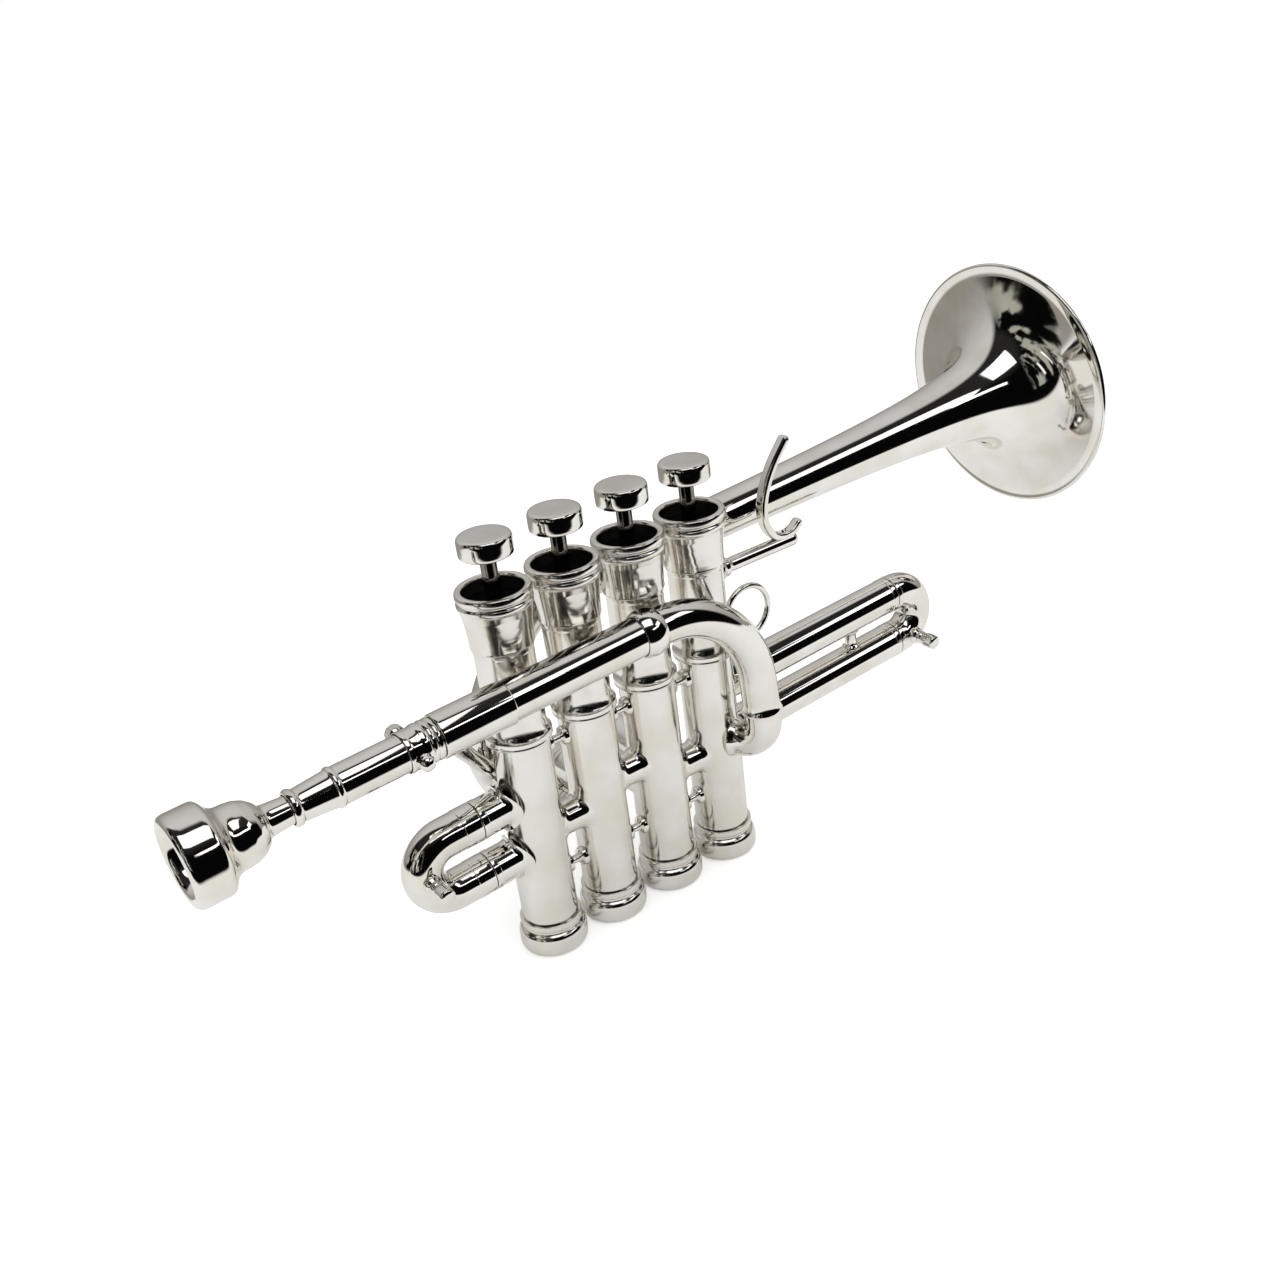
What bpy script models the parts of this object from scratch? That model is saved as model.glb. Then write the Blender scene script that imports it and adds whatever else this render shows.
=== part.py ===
# Piccolo trumpet with four piston valves, modelled in metres with +Z up.
# The origin lies on the first valve's axis, in the plane of the bottom caps that it stands on.
# +X runs from the mouthpiece to the bell and -Y is the side of the leadpipe.
# All sizes below are millimetres and degrees. MM turns them into metres.
import math

import bmesh
import bpy
from mathutils import Matrix, Vector
from mathutils.geometry import interpolate_bezier

MM = 0.001
MERGE = 0.02 * MM

# Fits that several pieces share.
SEAT_GAP = 0.3
SLIDING_GAP = 0.3

# The row of valves.
VALVE_COUNT = 4
VALVE_SPACING = 25.5
STROKE = 14.0
CASING_RADIUS = 9.6
CASING_BOTTOM = 12.6
CASING_TOP = 115.0
CASING_END_RADIUS = 9.75
MID_RING_HEIGHT = 82.8
MID_RING_WIDTH = 2.8
MID_RING_RADIUS = 10.9
PISTON_RADIUS = 8.0
PISTON_BOTTOM = 33.0
PISTON_TOP = 84.0
NECK_RADIUS = 4.0
SHOULDER_RADIUS = 6.6
SHOULDER_THICKNESS = 2.5
STEM_RADIUS = 2.5
KEY_WIDTH = 2.4
KEY_HEIGHT = 6.0
KEY_PROUD = 0.6
KEY_DROP = 0.5
PASSAGE_RADIUS = 4.2
PASSAGE_STEP = 12.4

# The caps and what they hold.
TOP_CAP_RIM_RADIUS = 12.1
TOP_CAP_TOP = 134.6
TOP_CAP_WAIST_RADIUS = 10.3
TOP_CAP_RECESS_RADIUS = 9.7
TOP_CAP_FLOOR = 126.2
TOP_CAP_WEB = 5.2
CAP_SKIRT_LENGTH = 5.0
CAP_SKIRT_WALL = 1.1
CAP_SCREW_DEPTH = 0.6
BOTTOM_CAP_RADIUS = 11.7
BOTTOM_CAP_FLOOR = 2.2
BOTTOM_CAP_BULGE = 7.0
BOTTOM_CAP_BAND_RADIUS = 10.6
BOTTOM_CAP_BAND_WIDTH = 2.2
FELT_THICKNESS = 3.0
BUTTON_RADIUS = 8.65
BUTTON_THICKNESS = 8.4
BUTTON_SIDE_DEPTH = 6.1
BUTTON_HUB_RADIUS = 3.5
BUTTON_SOCKET_DEPTH = 3.6
SPRING_RADIUS = 5.6
SPRING_WIRE_RADIUS = 0.45
SPRING_CURLS = 5
SPRING_RESOLUTION = 0
SPRING_POCKET_DEPTH = 6.0

# The tubes, which all rise towards the bell by the same angle.
TUBE_PITCH = 2.63
TUBE_RADIUS = 6.7
TUBE_WALL = 0.8
CIRCLE_PULL = 0.5523
LEG_RADIUS = 5.1
LEG_WALL = 0.5

# The leadpipe line, by its height over the first valve's axis.
LEADPIPE_SIDE = -18.6
LEADPIPE_HEIGHT = 106.6
PIPE_RADIUS = 6.0
PIPE_WALL = 0.6
MOUTHPIECE_START = -117.0
MOUTHPIECE_RIM_RADIUS = 14.1
MOUTHPIECE_RIM_WIDTH = 9.8
MOUTHPIECE_BOWL_RADIUS = 9.6
MOUTHPIECE_BOWL_LENGTH = 26.0
MOUTHPIECE_SHANK_RADIUS = 4.35
MOUTHPIECE_CUP_RADIUS = 8.3
MOUTHPIECE_CUP_DEPTH = 18.0
MOUTHPIECE_THROAT_RADIUS = 1.85
RECEIVER_START = -84.0
RECEIVER_LENGTH = 14.6
RECEIVER_TAPER = 1.0
SHANK_LENGTH = 22.0
PIPE_END = 10.0
CLAMP_START = -48.0
CLAMP_RADIUS = 6.8
CLAMP_SCREW_PLACE = -44.0
CLAMP_SCREW_RADIUS = 1.2
CLAMP_BOSS_RADIUS = 2.4
CLAMP_BOSS_END = 8.4
CLAMP_KNOB_RADIUS = 3.0
CLAMP_BOSS_TILT = 16.0
SLEEVE_START = -37.0
SLEEVE_SEAM = -12.0
SLEEVE_WALL = 0.4
SLEEVE_STEP = 0.5
FERRULE_PLACE = 41.5
FERRULE_LENGTH = 8.0
FERRULE_RADIUS = 8.1
CROOK_RADIUS = 6.5
CROOK_BEND_PLACE = 45.8
CROOK_BEND_RADIUS = 37.0
CROOK_LEG_LENGTH = 15.8
CROOK_SEAM_DROP = 11.8
CROOK_RING_PROUD = 0.45
CROOK_RING_WIDTH = 2.4
CROOK_PORT_HEIGHT = 48.3
ELBOW_RADIUS = 9.4
ELBOW_STEPS = 4

# The bell line, by its height over the first valve's axis.
BELL_SIDE = 19.6
BELL_HEIGHT = 113.1
BELL_START = 40.0
BELL_MOUTH = 256.2
BELL_MOUTH_RADIUS = 48.0
BELL_THROAT_RADIUS = 4.0
BELL_FLARE_LENGTH = 4.2
BELL_FLARE_POWER = 0.68
BELL_WALL = 0.7
BELL_BEAD_RADIUS = 0.9
BELL_BEAD_STEPS = 4
TAIL_RADIUS = 6.3
TAIL_BEND_RADIUS = 37.0
TAIL_BEND_PULL = 0.38
TAIL_LEG_PLACE = -5.5
TAIL_LEG_LENGTH = 1.1
TAIL_PORT_HEIGHT = 58.0
TAIL_FERRULE_LENGTH = 3.8
TAIL_BRACE_PLACE = -35.0
TAIL_BRACE_RADIUS = 2.7

# The tubes between the casings.
KNUCKLE_RADIUS = 6.0
KNUCKLE_FLARE = 0.9
KNUCKLE_HEIGHTS = (44.5, 51.0, 43.0)
SPOOL_RADIUS = 3.0
SPOOL_WAIST_RADIUS = 1.5
UPPER_BRACE_HEIGHT = 74.5
LOWER_BRACE_HEIGHT = 26.5
TUBE_BRACE_RADIUS = 2.1
BELL_BRACE_HEIGHT = 106.5
LEADPIPE_BRACE_HEIGHT = 105.0

# The valve slides.
FIRST_SLIDE_HEIGHT = 60.0
FIRST_SLIDE_DROP = 20.1
FIRST_STUB_END = -21.2
FIRST_BOW_FERRULE = 6.0
FIRST_BOW_CENTRE = -33.0
FIRST_KNOB_ANGLE = -6.0
FOURTH_SLIDE_HEIGHT = 62.5
FOURTH_SLIDE_DROP = 19.5
FOURTH_TUBE_END = 165.3
FOURTH_LEG_LENGTH = 62.0
FOURTH_BOW_CENTRE = 168.6
FOURTH_BRACE_PLACE = 145.0
FOURTH_BRACE_RADIUS = 3.4
FOURTH_BRACE_WAIST = 2.2
FOURTH_KNOB_ANGLE = 66.0
SIDE_SLIDE_HEIGHT = 52.0
SIDE_SLIDE_DROP = 16.0
SIDE_TUBE_RADIUS = 5.7
SECOND_STUB_END = 18.5
SECOND_BOW_CENTRE = 22.0
THIRD_STUB_END = 30.0
THIRD_BOW_CENTRE = 42.0
PULL_KNOB_RADIUS = 2.45
PULL_KNOB_END = 17.25
SLIDE_REST_GAP = 1.2
END_RING_PROUD = 0.2
END_RING_WIDTH = 2.0
BOW_FERRULE_PROUD = 0.2

# The hook and the ring for the fingers.
HOOK_ROD_RADIUS = 2.6
HOOK_ROD_DROP = 6.0
HOOK_ROD_LENGTH = 35.9
HOOK_COLLAR_PROUD = 1.0
HOOK_COLLAR_LENGTH = 4.0
HOOK_SET_BACK = 14.4
HOOK_DEPTH = 16.6
HOOK_RISE = 38.2
HOOK_THICKNESS = 2.8
HOOK_WIDTH = 4.2
RING_SET_OUT = 11.1
RING_SHARE = 0.47
RING_RADIUS = 9.4
RING_WIRE_RADIUS = 1.1

# Facets.
ROUND_STEPS = 14
PISTON_STEPS = 12
BELL_STEPS = 24
MOUTHPIECE_STEPS = 16
TUBE_STEPS = 10
BRACE_STEPS = 8
BORE_STEPS = 6
TUBE_RESOLUTION = 3
BORE_RESOLUTION = 2
CLEARANCE_RESOLUTION = 5
BEND_STEPS = 5
RING_STEPS = 16
FOURTH_BRACE_STEPS = 12
SPRING_POINTS = 8
SHARP_ANGLE = 40.0

# How far a cutter runs past what it cuts.
OVERCUT = 2.0
CLEARANCE_REACH = 20.0

# How deep a piece to be joined starts inside its partner.
ROOT_DEPTH = 1.0

CASING_BORE = PISTON_RADIUS + SLIDING_GAP
CASING_CLEARANCE = CASING_RADIUS + SEAT_GAP
CAP_SCREW_RADIUS = CASING_BORE + CAP_SCREW_DEPTH - SEAT_GAP
FELT_TOP = TOP_CAP_FLOOR + SEAT_GAP + FELT_THICKNESS
BUTTON_BOTTOM = FELT_TOP + STROKE + SEAT_GAP
BUTTON_TOP = BUTTON_BOTTOM + BUTTON_THICKNESS
SHOULDER_TOP = TOP_CAP_FLOOR - TOP_CAP_WEB - SEAT_GAP
SLIDE_BORE = LEG_RADIUS + SLIDING_GAP
PIPE_BORE = PIPE_RADIUS + SLIDING_GAP
SLEEVE_RADIUS = PIPE_BORE + SLEEVE_WALL
SLEEVE_WIDE_RADIUS = SLEEVE_RADIUS + SLEEVE_STEP
CROOK_LEG_PLACE = CROOK_BEND_PLACE + CROOK_BEND_RADIUS
HOOK_ROD_HEIGHT = CASING_TOP - HOOK_ROD_DROP
LAST_WALL_PLACE = (VALVE_COUNT - 1) * VALVE_SPACING + CASING_RADIUS
HOOK_ROD_END = LAST_WALL_PLACE + HOOK_ROD_LENGTH
RING_PLACE = LAST_WALL_PLACE + RING_SET_OUT


def valve_place(index):
    return index * VALVE_SPACING


def start_scene():
    for old in list(bpy.data.objects):
        bpy.data.objects.remove(old, do_unlink=True)
    scene_root = bpy.context.scene.collection
    collections = []
    for name in ("piccolo_trumpet", "cutters"):
        collection = bpy.data.collections.new(name)
        scene_root.children.link(collection)
        collections.append(collection)
    return collections


PARTS, CUTTERS = start_scene()


def finish(name, colour, roughness, metallic):
    material = bpy.data.materials.new(name)
    material.use_nodes = True
    shader = material.node_tree.nodes["Principled BSDF"]
    shader.inputs["Base Color"].default_value = (*colour, 1.0)
    shader.inputs["Roughness"].default_value = roughness
    shader.inputs["Metallic"].default_value = metallic
    material.diffuse_color = (*colour, 1.0)
    return material


def silver(name, roughness=0.08):
    return finish(name, (0.86, 0.85, 0.83), roughness, 1.0)


def line_frame(name, side, height, turn=None):
    frame = bpy.data.objects.new(name, None)
    frame.location = (0.0, side * MM, height * MM)
    frame.rotation_euler = turn or (0.0, -math.radians(TUBE_PITCH), 0.0)
    PARTS.objects.link(frame)
    bpy.context.view_layer.update()
    return frame


def add_piece(name, mesh, material=None, frame=None, place=(0, 0, 0), turn=(0, 0, 0)):
    piece = bpy.data.objects.new(name, mesh)
    piece.location = Vector(place) * MM
    piece.rotation_euler = turn
    piece.parent = frame
    if material is None:
        CUTTERS.objects.link(piece)
        piece.hide_render = True
        piece.display_type = "WIRE"
    else:
        PARTS.objects.link(piece)
        if len(mesh.materials) == 0:
            mesh.materials.append(material)
    return piece


def turned(name, profile, material=None, frame=None, place=(0, 0, 0), turn=(0, 0, 0),
           steps=ROUND_STEPS, closed=True):
    # The profile lists (radius, height) down the outer side and, when closed, up the inner side.
    shape = bmesh.new()
    corners = [shape.verts.new((radius * MM, 0.0, height * MM)) for radius, height in profile]
    for first, second in zip(corners, corners[1:]):
        shape.edges.new((first, second))
    if closed:
        shape.edges.new((corners[-1], corners[0]))
    mesh = bpy.data.meshes.new(name)
    shape.to_mesh(mesh)
    shape.free()
    piece = add_piece(name, mesh, material, frame, place, turn)
    screw = piece.modifiers.new("Turn", "SCREW")
    screw.axis = "Z"
    screw.angle = 2.0 * math.pi
    screw.steps = steps
    screw.render_steps = steps
    screw.use_merge_vertices = True
    screw.merge_threshold = MERGE
    screw.use_smooth_shade = True
    return piece


ALONG = (0.0, math.pi / 2.0, 0.0)


def rod(name, radius, start, end, frame=None, sides=TUBE_STEPS):
    # A closed cylinder between two points, as a cutter or a shape to join.
    start = Vector(start)
    end = Vector(end)
    shape = bmesh.new()
    bmesh.ops.create_cone(shape, cap_ends=True, segments=sides, radius1=radius * MM,
                          radius2=radius * MM, depth=(end - start).length * MM)
    mesh = bpy.data.meshes.new(name)
    shape.to_mesh(mesh)
    shape.free()
    piece = add_piece(name, mesh, None, frame, (start + end) / 2.0)
    piece.rotation_mode = "QUATERNION"
    piece.rotation_quaternion = (end - start).to_track_quat("Z", "Y")
    return piece


def block(name, size, centre):
    # A box, as a cutter or a shape to join.
    shape = bmesh.new()
    bmesh.ops.create_cube(shape, size=1.0, matrix=Matrix.Diagonal((*[side * MM for side in size], 1.0)))
    mesh = bpy.data.meshes.new(name)
    shape.to_mesh(mesh)
    shape.free()
    return add_piece(name, mesh, place=centre)


def bent(name, path, material=None, frame=None, resolution=TUBE_RESOLUTION, loop=False):
    # A solid tube along (point, radius) pairs, first drawn as a bevelled curve.
    drawing = bpy.data.curves.new(name, "CURVE")
    drawing.dimensions = "3D"
    drawing.bevel_depth = MM
    drawing.bevel_resolution = resolution
    drawing.use_fill_caps = not loop
    spline = drawing.splines.new("POLY")
    spline.points.add(len(path) - 1)
    for target, (point, radius) in zip(spline.points, path):
        target.co = (*(Vector(point) * MM), 1.0)
        target.radius = radius
    spline.use_cyclic_u = loop
    spline.use_smooth = True
    curve = bpy.data.objects.new(name + "_curve", drawing)
    curve.parent = frame
    PARTS.objects.link(curve)
    bpy.context.view_layer.update()
    graph = bpy.context.evaluated_depsgraph_get()
    mesh = bpy.data.meshes.new_from_object(curve.evaluated_get(graph))
    mesh.name = name
    welded = bmesh.new()
    welded.from_mesh(mesh)
    bmesh.ops.remove_doubles(welded, verts=welded.verts, dist=MERGE)
    bmesh.ops.recalc_face_normals(welded, faces=welded.faces)
    welded.to_mesh(mesh)
    welded.free()
    mesh.shade_smooth()
    mesh.set_sharp_from_angle(angle=math.radians(SHARP_ANGLE))
    mesh.materials.clear()
    piece = add_piece(name, mesh, material, frame)
    piece.matrix_world = curve.matrix_world.copy()
    bpy.data.objects.remove(curve, do_unlink=True)
    bpy.data.curves.remove(drawing)
    return piece


def combine(piece, other, operation="DIFFERENCE"):
    modifier = piece.modifiers.new(other.name, "BOOLEAN")
    modifier.operation = operation
    modifier.object = other
    return piece


def arc(centre, start_arm, end_arm, radius, steps=BEND_STEPS):
    # Points on a quarter bend from one arm's direction to the other's.
    points = []
    for step in range(steps + 1):
        angle = math.pi / 2.0 * step / steps
        points.append(Vector(centre) + (Vector(start_arm) * math.cos(angle)
                                        + Vector(end_arm) * math.sin(angle)) * radius)
    return points


def drawn_bend(start, end, pull, steps=BEND_STEPS + 1):
    # Points on a smooth bend that leaves its start along the line and comes to its end at a right angle.
    start = Vector(start)
    end = Vector(end)
    start_handle = start + Vector(((end.x - start.x) * pull, 0, 0))
    end_handle = end + Vector((0, 0, (start.z - end.z) * pull))
    return interpolate_bezier(start, start_handle, end_handle, end, steps + 1)


def with_radius(points, radius):
    return [(point, radius) for point in points]


def hollow(name, path, bore, material, frame, bore_path=None, knob=None):
    # A bent tube, joined to its knob if it has one, with its bore cut through both ends.
    piece = bent(name, path, material, frame)
    if knob:
        combine(piece, knob, "UNION")
    inner = [Vector(point) for point in (bore_path or [point for point, radius in path])]
    first_way = (inner[0] - inner[1]).normalized()
    last_way = (inner[-1] - inner[-2]).normalized()
    points = [inner[0] + first_way * OVERCUT] + inner[1:-1] + [inner[-1] + last_way * OVERCUT]
    combine(piece, bent(name + "_bore", with_radius(points, bore), None, frame, BORE_RESOLUTION))
    return piece


def casing_clearance(index):
    # The space that a piece soldered to a casing leaves free.
    place = valve_place(index)
    bottom = (place, 0, CASING_BOTTOM - CLEARANCE_REACH)
    top = (place, 0, CASING_TOP + CLEARANCE_REACH)
    return rod(f"casing_clearance_{index + 1}", CASING_CLEARANCE, bottom, top, sides=ROUND_STEPS * 2)


CLEARANCES = [casing_clearance(index) for index in range(VALVE_COUNT)]


LEADPIPE_LINE = line_frame("leadpipe_line", LEADPIPE_SIDE, LEADPIPE_HEIGHT)
BELL_LINE = line_frame("bell_line", BELL_SIDE, BELL_HEIGHT)
FIRST_SLIDE_LINE = line_frame("first_slide_line", 0.0, FIRST_SLIDE_HEIGHT)
FOURTH_SLIDE_LINE = line_frame("fourth_slide_line", 0.0, FOURTH_SLIDE_HEIGHT)


def to_line(frame, point):
    # A world point in millimetres, as seen along one of the pitched lines.
    return (frame.matrix_world.inverted() @ (Vector(point) * MM)) / MM


def from_line(frame, point):
    return (frame.matrix_world @ (Vector(point) * MM)) / MM


def elbow_path(frame, leg_place, port_height, valve_index):
    # The leg's lower end and the elbow that turns from it into a casing at a right angle.
    foot = from_line(frame, (leg_place, 0, 0))
    down = from_line(frame, (leg_place, 0, -1)) - foot
    foot = foot + down * ((foot.z - port_height) / -down.z)
    axis = Vector((valve_place(valve_index), 0.0, port_height))
    reach = ELBOW_RADIUS
    inward = (axis - foot).normalized()
    centre = foot - down * reach + inward * reach
    points = arc(centre, -inward, down, reach, ELBOW_STEPS)
    points.append(axis)
    return [to_line(frame, point) for point in points]


def port_direction(frame, leg_place, port_height, valve_index):
    foot = from_line(frame, (leg_place, 0, 0))
    down = from_line(frame, (leg_place, 0, -1)) - foot
    foot = foot + down * ((foot.z - port_height) / -down.z)
    return (foot - Vector((valve_place(valve_index), 0.0, port_height))).normalized()


def port_list():
    # For each valve the (height, direction) of every tube that enters its casing.
    backward = Vector((-1, 0, 0))
    forward = Vector((1, 0, 0))
    sideways = Vector((0, 1, 0))
    ports = [[] for index in range(VALVE_COUNT)]
    for index, height in enumerate(KNUCKLE_HEIGHTS):
        ports[index].append((height, forward))
        ports[index + 1].append((height, backward))
    way = port_direction(BELL_LINE, TAIL_LEG_PLACE, TAIL_PORT_HEIGHT, 0)
    ports[0].append((TAIL_PORT_HEIGHT, way))
    way = port_direction(LEADPIPE_LINE, CROOK_LEG_PLACE, CROOK_PORT_HEIGHT, 3)
    ports[3].append((CROOK_PORT_HEIGHT, way))
    for drop in (0.0, FIRST_SLIDE_DROP):
        ports[0].append((FIRST_SLIDE_HEIGHT - drop, backward))
    rise = valve_place(3) * math.tan(math.radians(TUBE_PITCH))
    for drop in (0.0, FOURTH_SLIDE_DROP):
        ports[3].append((FOURTH_SLIDE_HEIGHT + rise - drop, forward))
    for index in (1, 2):
        for drop in (0.0, SIDE_SLIDE_DROP):
            ports[index].append((SIDE_SLIDE_HEIGHT - drop, sideways))
    return ports


def side_stub(name, index, height, end):
    # A short slide tube on the far side of a casing, joined to it.
    place = valve_place(index)
    profile = [(SIDE_TUBE_RADIUS + 0.3, end), (SIDE_TUBE_RADIUS + 0.3, CASING_BORE + 0.5),
               (SLIDE_BORE, CASING_BORE + 0.5), (SLIDE_BORE, end)]
    return turned(name, profile, place=(place, 0, height), turn=(-math.pi / 2.0, 0, 0), steps=TUBE_STEPS)


def make_casing(index, ports):
    number = index + 1
    place = valve_place(index)
    screw_bore = CASING_BORE + CAP_SCREW_DEPTH
    ring_bottom = MID_RING_HEIGHT - MID_RING_WIDTH / 2.0
    ring_top = MID_RING_HEIGHT + MID_RING_WIDTH / 2.0
    bottom_screw = CASING_BOTTOM + CAP_SKIRT_LENGTH + SEAT_GAP
    top_screw = CASING_TOP - CAP_SKIRT_LENGTH - SEAT_GAP
    profile = [
        (CASING_END_RADIUS, CASING_TOP),
        (CASING_END_RADIUS, CASING_TOP - 1.2),
        (CASING_RADIUS, CASING_TOP - 2.0),
        (CASING_RADIUS, ring_top + MID_RING_WIDTH),
        (CASING_RADIUS + 0.3, ring_top + MID_RING_WIDTH * 0.35),
        (MID_RING_RADIUS, ring_top),
        (MID_RING_RADIUS, ring_bottom + 0.3),
        (MID_RING_RADIUS - 0.3, ring_bottom),
        (CASING_RADIUS, ring_bottom),
        (CASING_RADIUS, CASING_BOTTOM),
        (screw_bore, CASING_BOTTOM),
        (screw_bore, bottom_screw),
        (CASING_BORE, bottom_screw),
        (CASING_BORE, top_screw),
        (screw_bore, top_screw),
        (screw_bore, CASING_TOP),
    ]
    casing = turned(f"casing_{number}", profile, silver(f"casing_{number}_silver", 0.12),
                    place=(place, 0, 0))
    if index in (1, 2):
        end = SECOND_STUB_END if index == 1 else THIRD_STUB_END
        for level, drop in (("upper", 0.0), ("lower", SIDE_SLIDE_DROP)):
            stub = side_stub(f"stub_{number}_{level}", index, SIDE_SLIDE_HEIGHT - drop, end)
            combine(casing, stub, "UNION")
    for count, (height, way) in enumerate(ports):
        middle = Vector((place, 0, height))
        hole = rod(f"port_{number}_{count}", PASSAGE_RADIUS, middle + way * (PISTON_RADIUS - OVERCUT),
                   middle + way * (CASING_RADIUS + OVERCUT), sides=BORE_STEPS)
        combine(casing, hole)
    keyway_bottom = PISTON_TOP - KEY_DROP - KEY_HEIGHT - STROKE - SLIDING_GAP
    keyway_top = PISTON_TOP + SLIDING_GAP
    keyway = block(f"keyway_{number}",
                   (KEY_WIDTH + 2.0 * SLIDING_GAP, KEY_PROUD + 2.0, keyway_top - keyway_bottom),
                   (place, -(CASING_BORE + KEY_PROUD / 2.0 - 1.0), (keyway_top + keyway_bottom) / 2.0))
    combine(casing, keyway)
    return casing


def make_piston(index):
    number = index + 1
    place = valve_place(index)
    pocket = SPRING_RADIUS + SPRING_WIRE_RADIUS + SLIDING_GAP
    profile = [
        (0.0, BUTTON_BOTTOM + BUTTON_SOCKET_DEPTH - SEAT_GAP),
        (STEM_RADIUS, BUTTON_BOTTOM + BUTTON_SOCKET_DEPTH - SEAT_GAP),
        (STEM_RADIUS, SHOULDER_TOP),
        (SHOULDER_RADIUS, SHOULDER_TOP),
        (SHOULDER_RADIUS, SHOULDER_TOP - SHOULDER_THICKNESS),
        (NECK_RADIUS, SHOULDER_TOP - SHOULDER_THICKNESS - 1.0),
        (NECK_RADIUS, PISTON_TOP + 2.0),
        (PISTON_RADIUS - 0.5, PISTON_TOP),
        (PISTON_RADIUS, PISTON_TOP - 0.5),
        (PISTON_RADIUS, PISTON_BOTTOM),
        (pocket, PISTON_BOTTOM),
        (pocket, PISTON_BOTTOM + SPRING_POCKET_DEPTH),
        (0.0, PISTON_BOTTOM + SPRING_POCKET_DEPTH),
    ]
    metal = finish(f"piston_{number}_metal", (0.72, 0.71, 0.68), 0.25, 1.0)
    piston = turned(f"piston_{number}", profile, metal, place=(place, 0, 0), steps=PISTON_STEPS,
                    closed=False)
    key = block(f"key_{number}", (KEY_WIDTH, KEY_PROUD + 2.0, KEY_HEIGHT),
                (place, -(PISTON_RADIUS + KEY_PROUD / 2.0 - 1.0), PISTON_TOP - KEY_DROP - KEY_HEIGHT / 2.0))
    combine(piston, key, "UNION")
    lowest = PISTON_BOTTOM + SPRING_POCKET_DEPTH + PASSAGE_RADIUS + 0.4
    highest = PISTON_TOP - PASSAGE_RADIUS - 1.5
    level = lowest
    while level <= highest:
        # Passages cross the barrel at even steps, in turn along and across the row of valves.
        turn = round((level - lowest) / PASSAGE_STEP)
        way = Vector((1, 0, 0)) if turn % 2 == 0 else Vector((0, 1, 0))
        middle = Vector((place, 0, level))
        hole = rod(f"passage_{number}_{turn}", PASSAGE_RADIUS, middle - way * (PISTON_RADIUS + OVERCUT),
                   middle + way * (PISTON_RADIUS + OVERCUT), sides=BORE_STEPS)
        combine(piston, hole)
        level += PASSAGE_STEP
    return piston


def make_top_cap(index):
    number = index + 1
    waist = TOP_CAP_WAIST_RADIUS
    rim = TOP_CAP_RIM_RADIUS
    skirt_inner = CAP_SCREW_RADIUS - CAP_SKIRT_WALL
    web_bottom = TOP_CAP_FLOOR - TOP_CAP_WEB
    seat = CASING_TOP + SEAT_GAP
    profile = [
        (rim - 0.6, TOP_CAP_TOP),
        (rim, TOP_CAP_TOP - 0.8),
        (rim, TOP_CAP_TOP - 2.6),
        (rim - 0.6, TOP_CAP_TOP - 3.1),
        (rim, TOP_CAP_TOP - 3.6),
        (rim, TOP_CAP_TOP - 5.3),
        (rim - 0.7, TOP_CAP_TOP - 6.2),
        (waist + 0.5, TOP_CAP_TOP - 12.0),
        (waist, seat),
        (CAP_SCREW_RADIUS, seat),
        (CAP_SCREW_RADIUS, CASING_TOP - CAP_SKIRT_LENGTH),
        (skirt_inner, CASING_TOP - CAP_SKIRT_LENGTH),
        (skirt_inner, web_bottom),
        (STEM_RADIUS + SLIDING_GAP, web_bottom),
        (STEM_RADIUS + SLIDING_GAP, TOP_CAP_FLOOR),
        (TOP_CAP_RECESS_RADIUS, TOP_CAP_FLOOR),
        (TOP_CAP_RECESS_RADIUS, TOP_CAP_TOP),
    ]
    return turned(f"top_cap_{number}", profile, silver(f"top_cap_{number}_silver"),
                  place=(valve_place(index), 0, 0))


def make_bottom_cap(index):
    number = index + 1
    outer = BOTTOM_CAP_RADIUS
    waist = CASING_RADIUS + 0.3
    seat = CASING_BOTTOM - SEAT_GAP
    skirt_top = CASING_BOTTOM + CAP_SKIRT_LENGTH
    inner = CAP_SCREW_RADIUS - CAP_SKIRT_WALL
    profile = [
        (0.0, BOTTOM_CAP_FLOOR),
        (inner, BOTTOM_CAP_FLOOR),
        (inner, skirt_top),
        (CAP_SCREW_RADIUS, skirt_top),
        (CAP_SCREW_RADIUS, seat),
        (BOTTOM_CAP_BAND_RADIUS, seat),
        (BOTTOM_CAP_BAND_RADIUS, seat - BOTTOM_CAP_BAND_WIDTH),
        (waist, seat - BOTTOM_CAP_BAND_WIDTH - 0.5),
        (waist, BOTTOM_CAP_BULGE + 1.8),
        (outer - 0.3, BOTTOM_CAP_BULGE),
        (outer, BOTTOM_CAP_BULGE - 1.4),
        (outer - 0.3, 1.0),
        (outer - 1.3, 0.0),
        (0.0, 0.0),
    ]
    return turned(f"bottom_cap_{number}", profile, silver(f"bottom_cap_{number}_silver"),
                  place=(valve_place(index), 0, 0), closed=False)


def make_button(index):
    number = index + 1
    socket = STEM_RADIUS + SEAT_GAP
    roof = BUTTON_BOTTOM + BUTTON_SOCKET_DEPTH
    profile = [
        (0.0, BUTTON_TOP),
        (BUTTON_RADIUS - 1.6, BUTTON_TOP),
        (BUTTON_RADIUS - 0.5, BUTTON_TOP - 0.4),
        (BUTTON_RADIUS, BUTTON_TOP - 1.3),
        (BUTTON_RADIUS * 0.98, BUTTON_TOP - BUTTON_SIDE_DEPTH * 0.6),
        (BUTTON_RADIUS * 0.9, BUTTON_TOP - BUTTON_SIDE_DEPTH),
        (BUTTON_HUB_RADIUS, BUTTON_TOP - BUTTON_SIDE_DEPTH),
        (BUTTON_HUB_RADIUS, BUTTON_BOTTOM),
        (socket, BUTTON_BOTTOM),
        (socket, roof),
        (0.0, roof),
    ]
    return turned(f"finger_button_{number}", profile, silver(f"finger_button_{number}_silver"),
                  place=(valve_place(index), 0, 0), closed=False)


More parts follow.
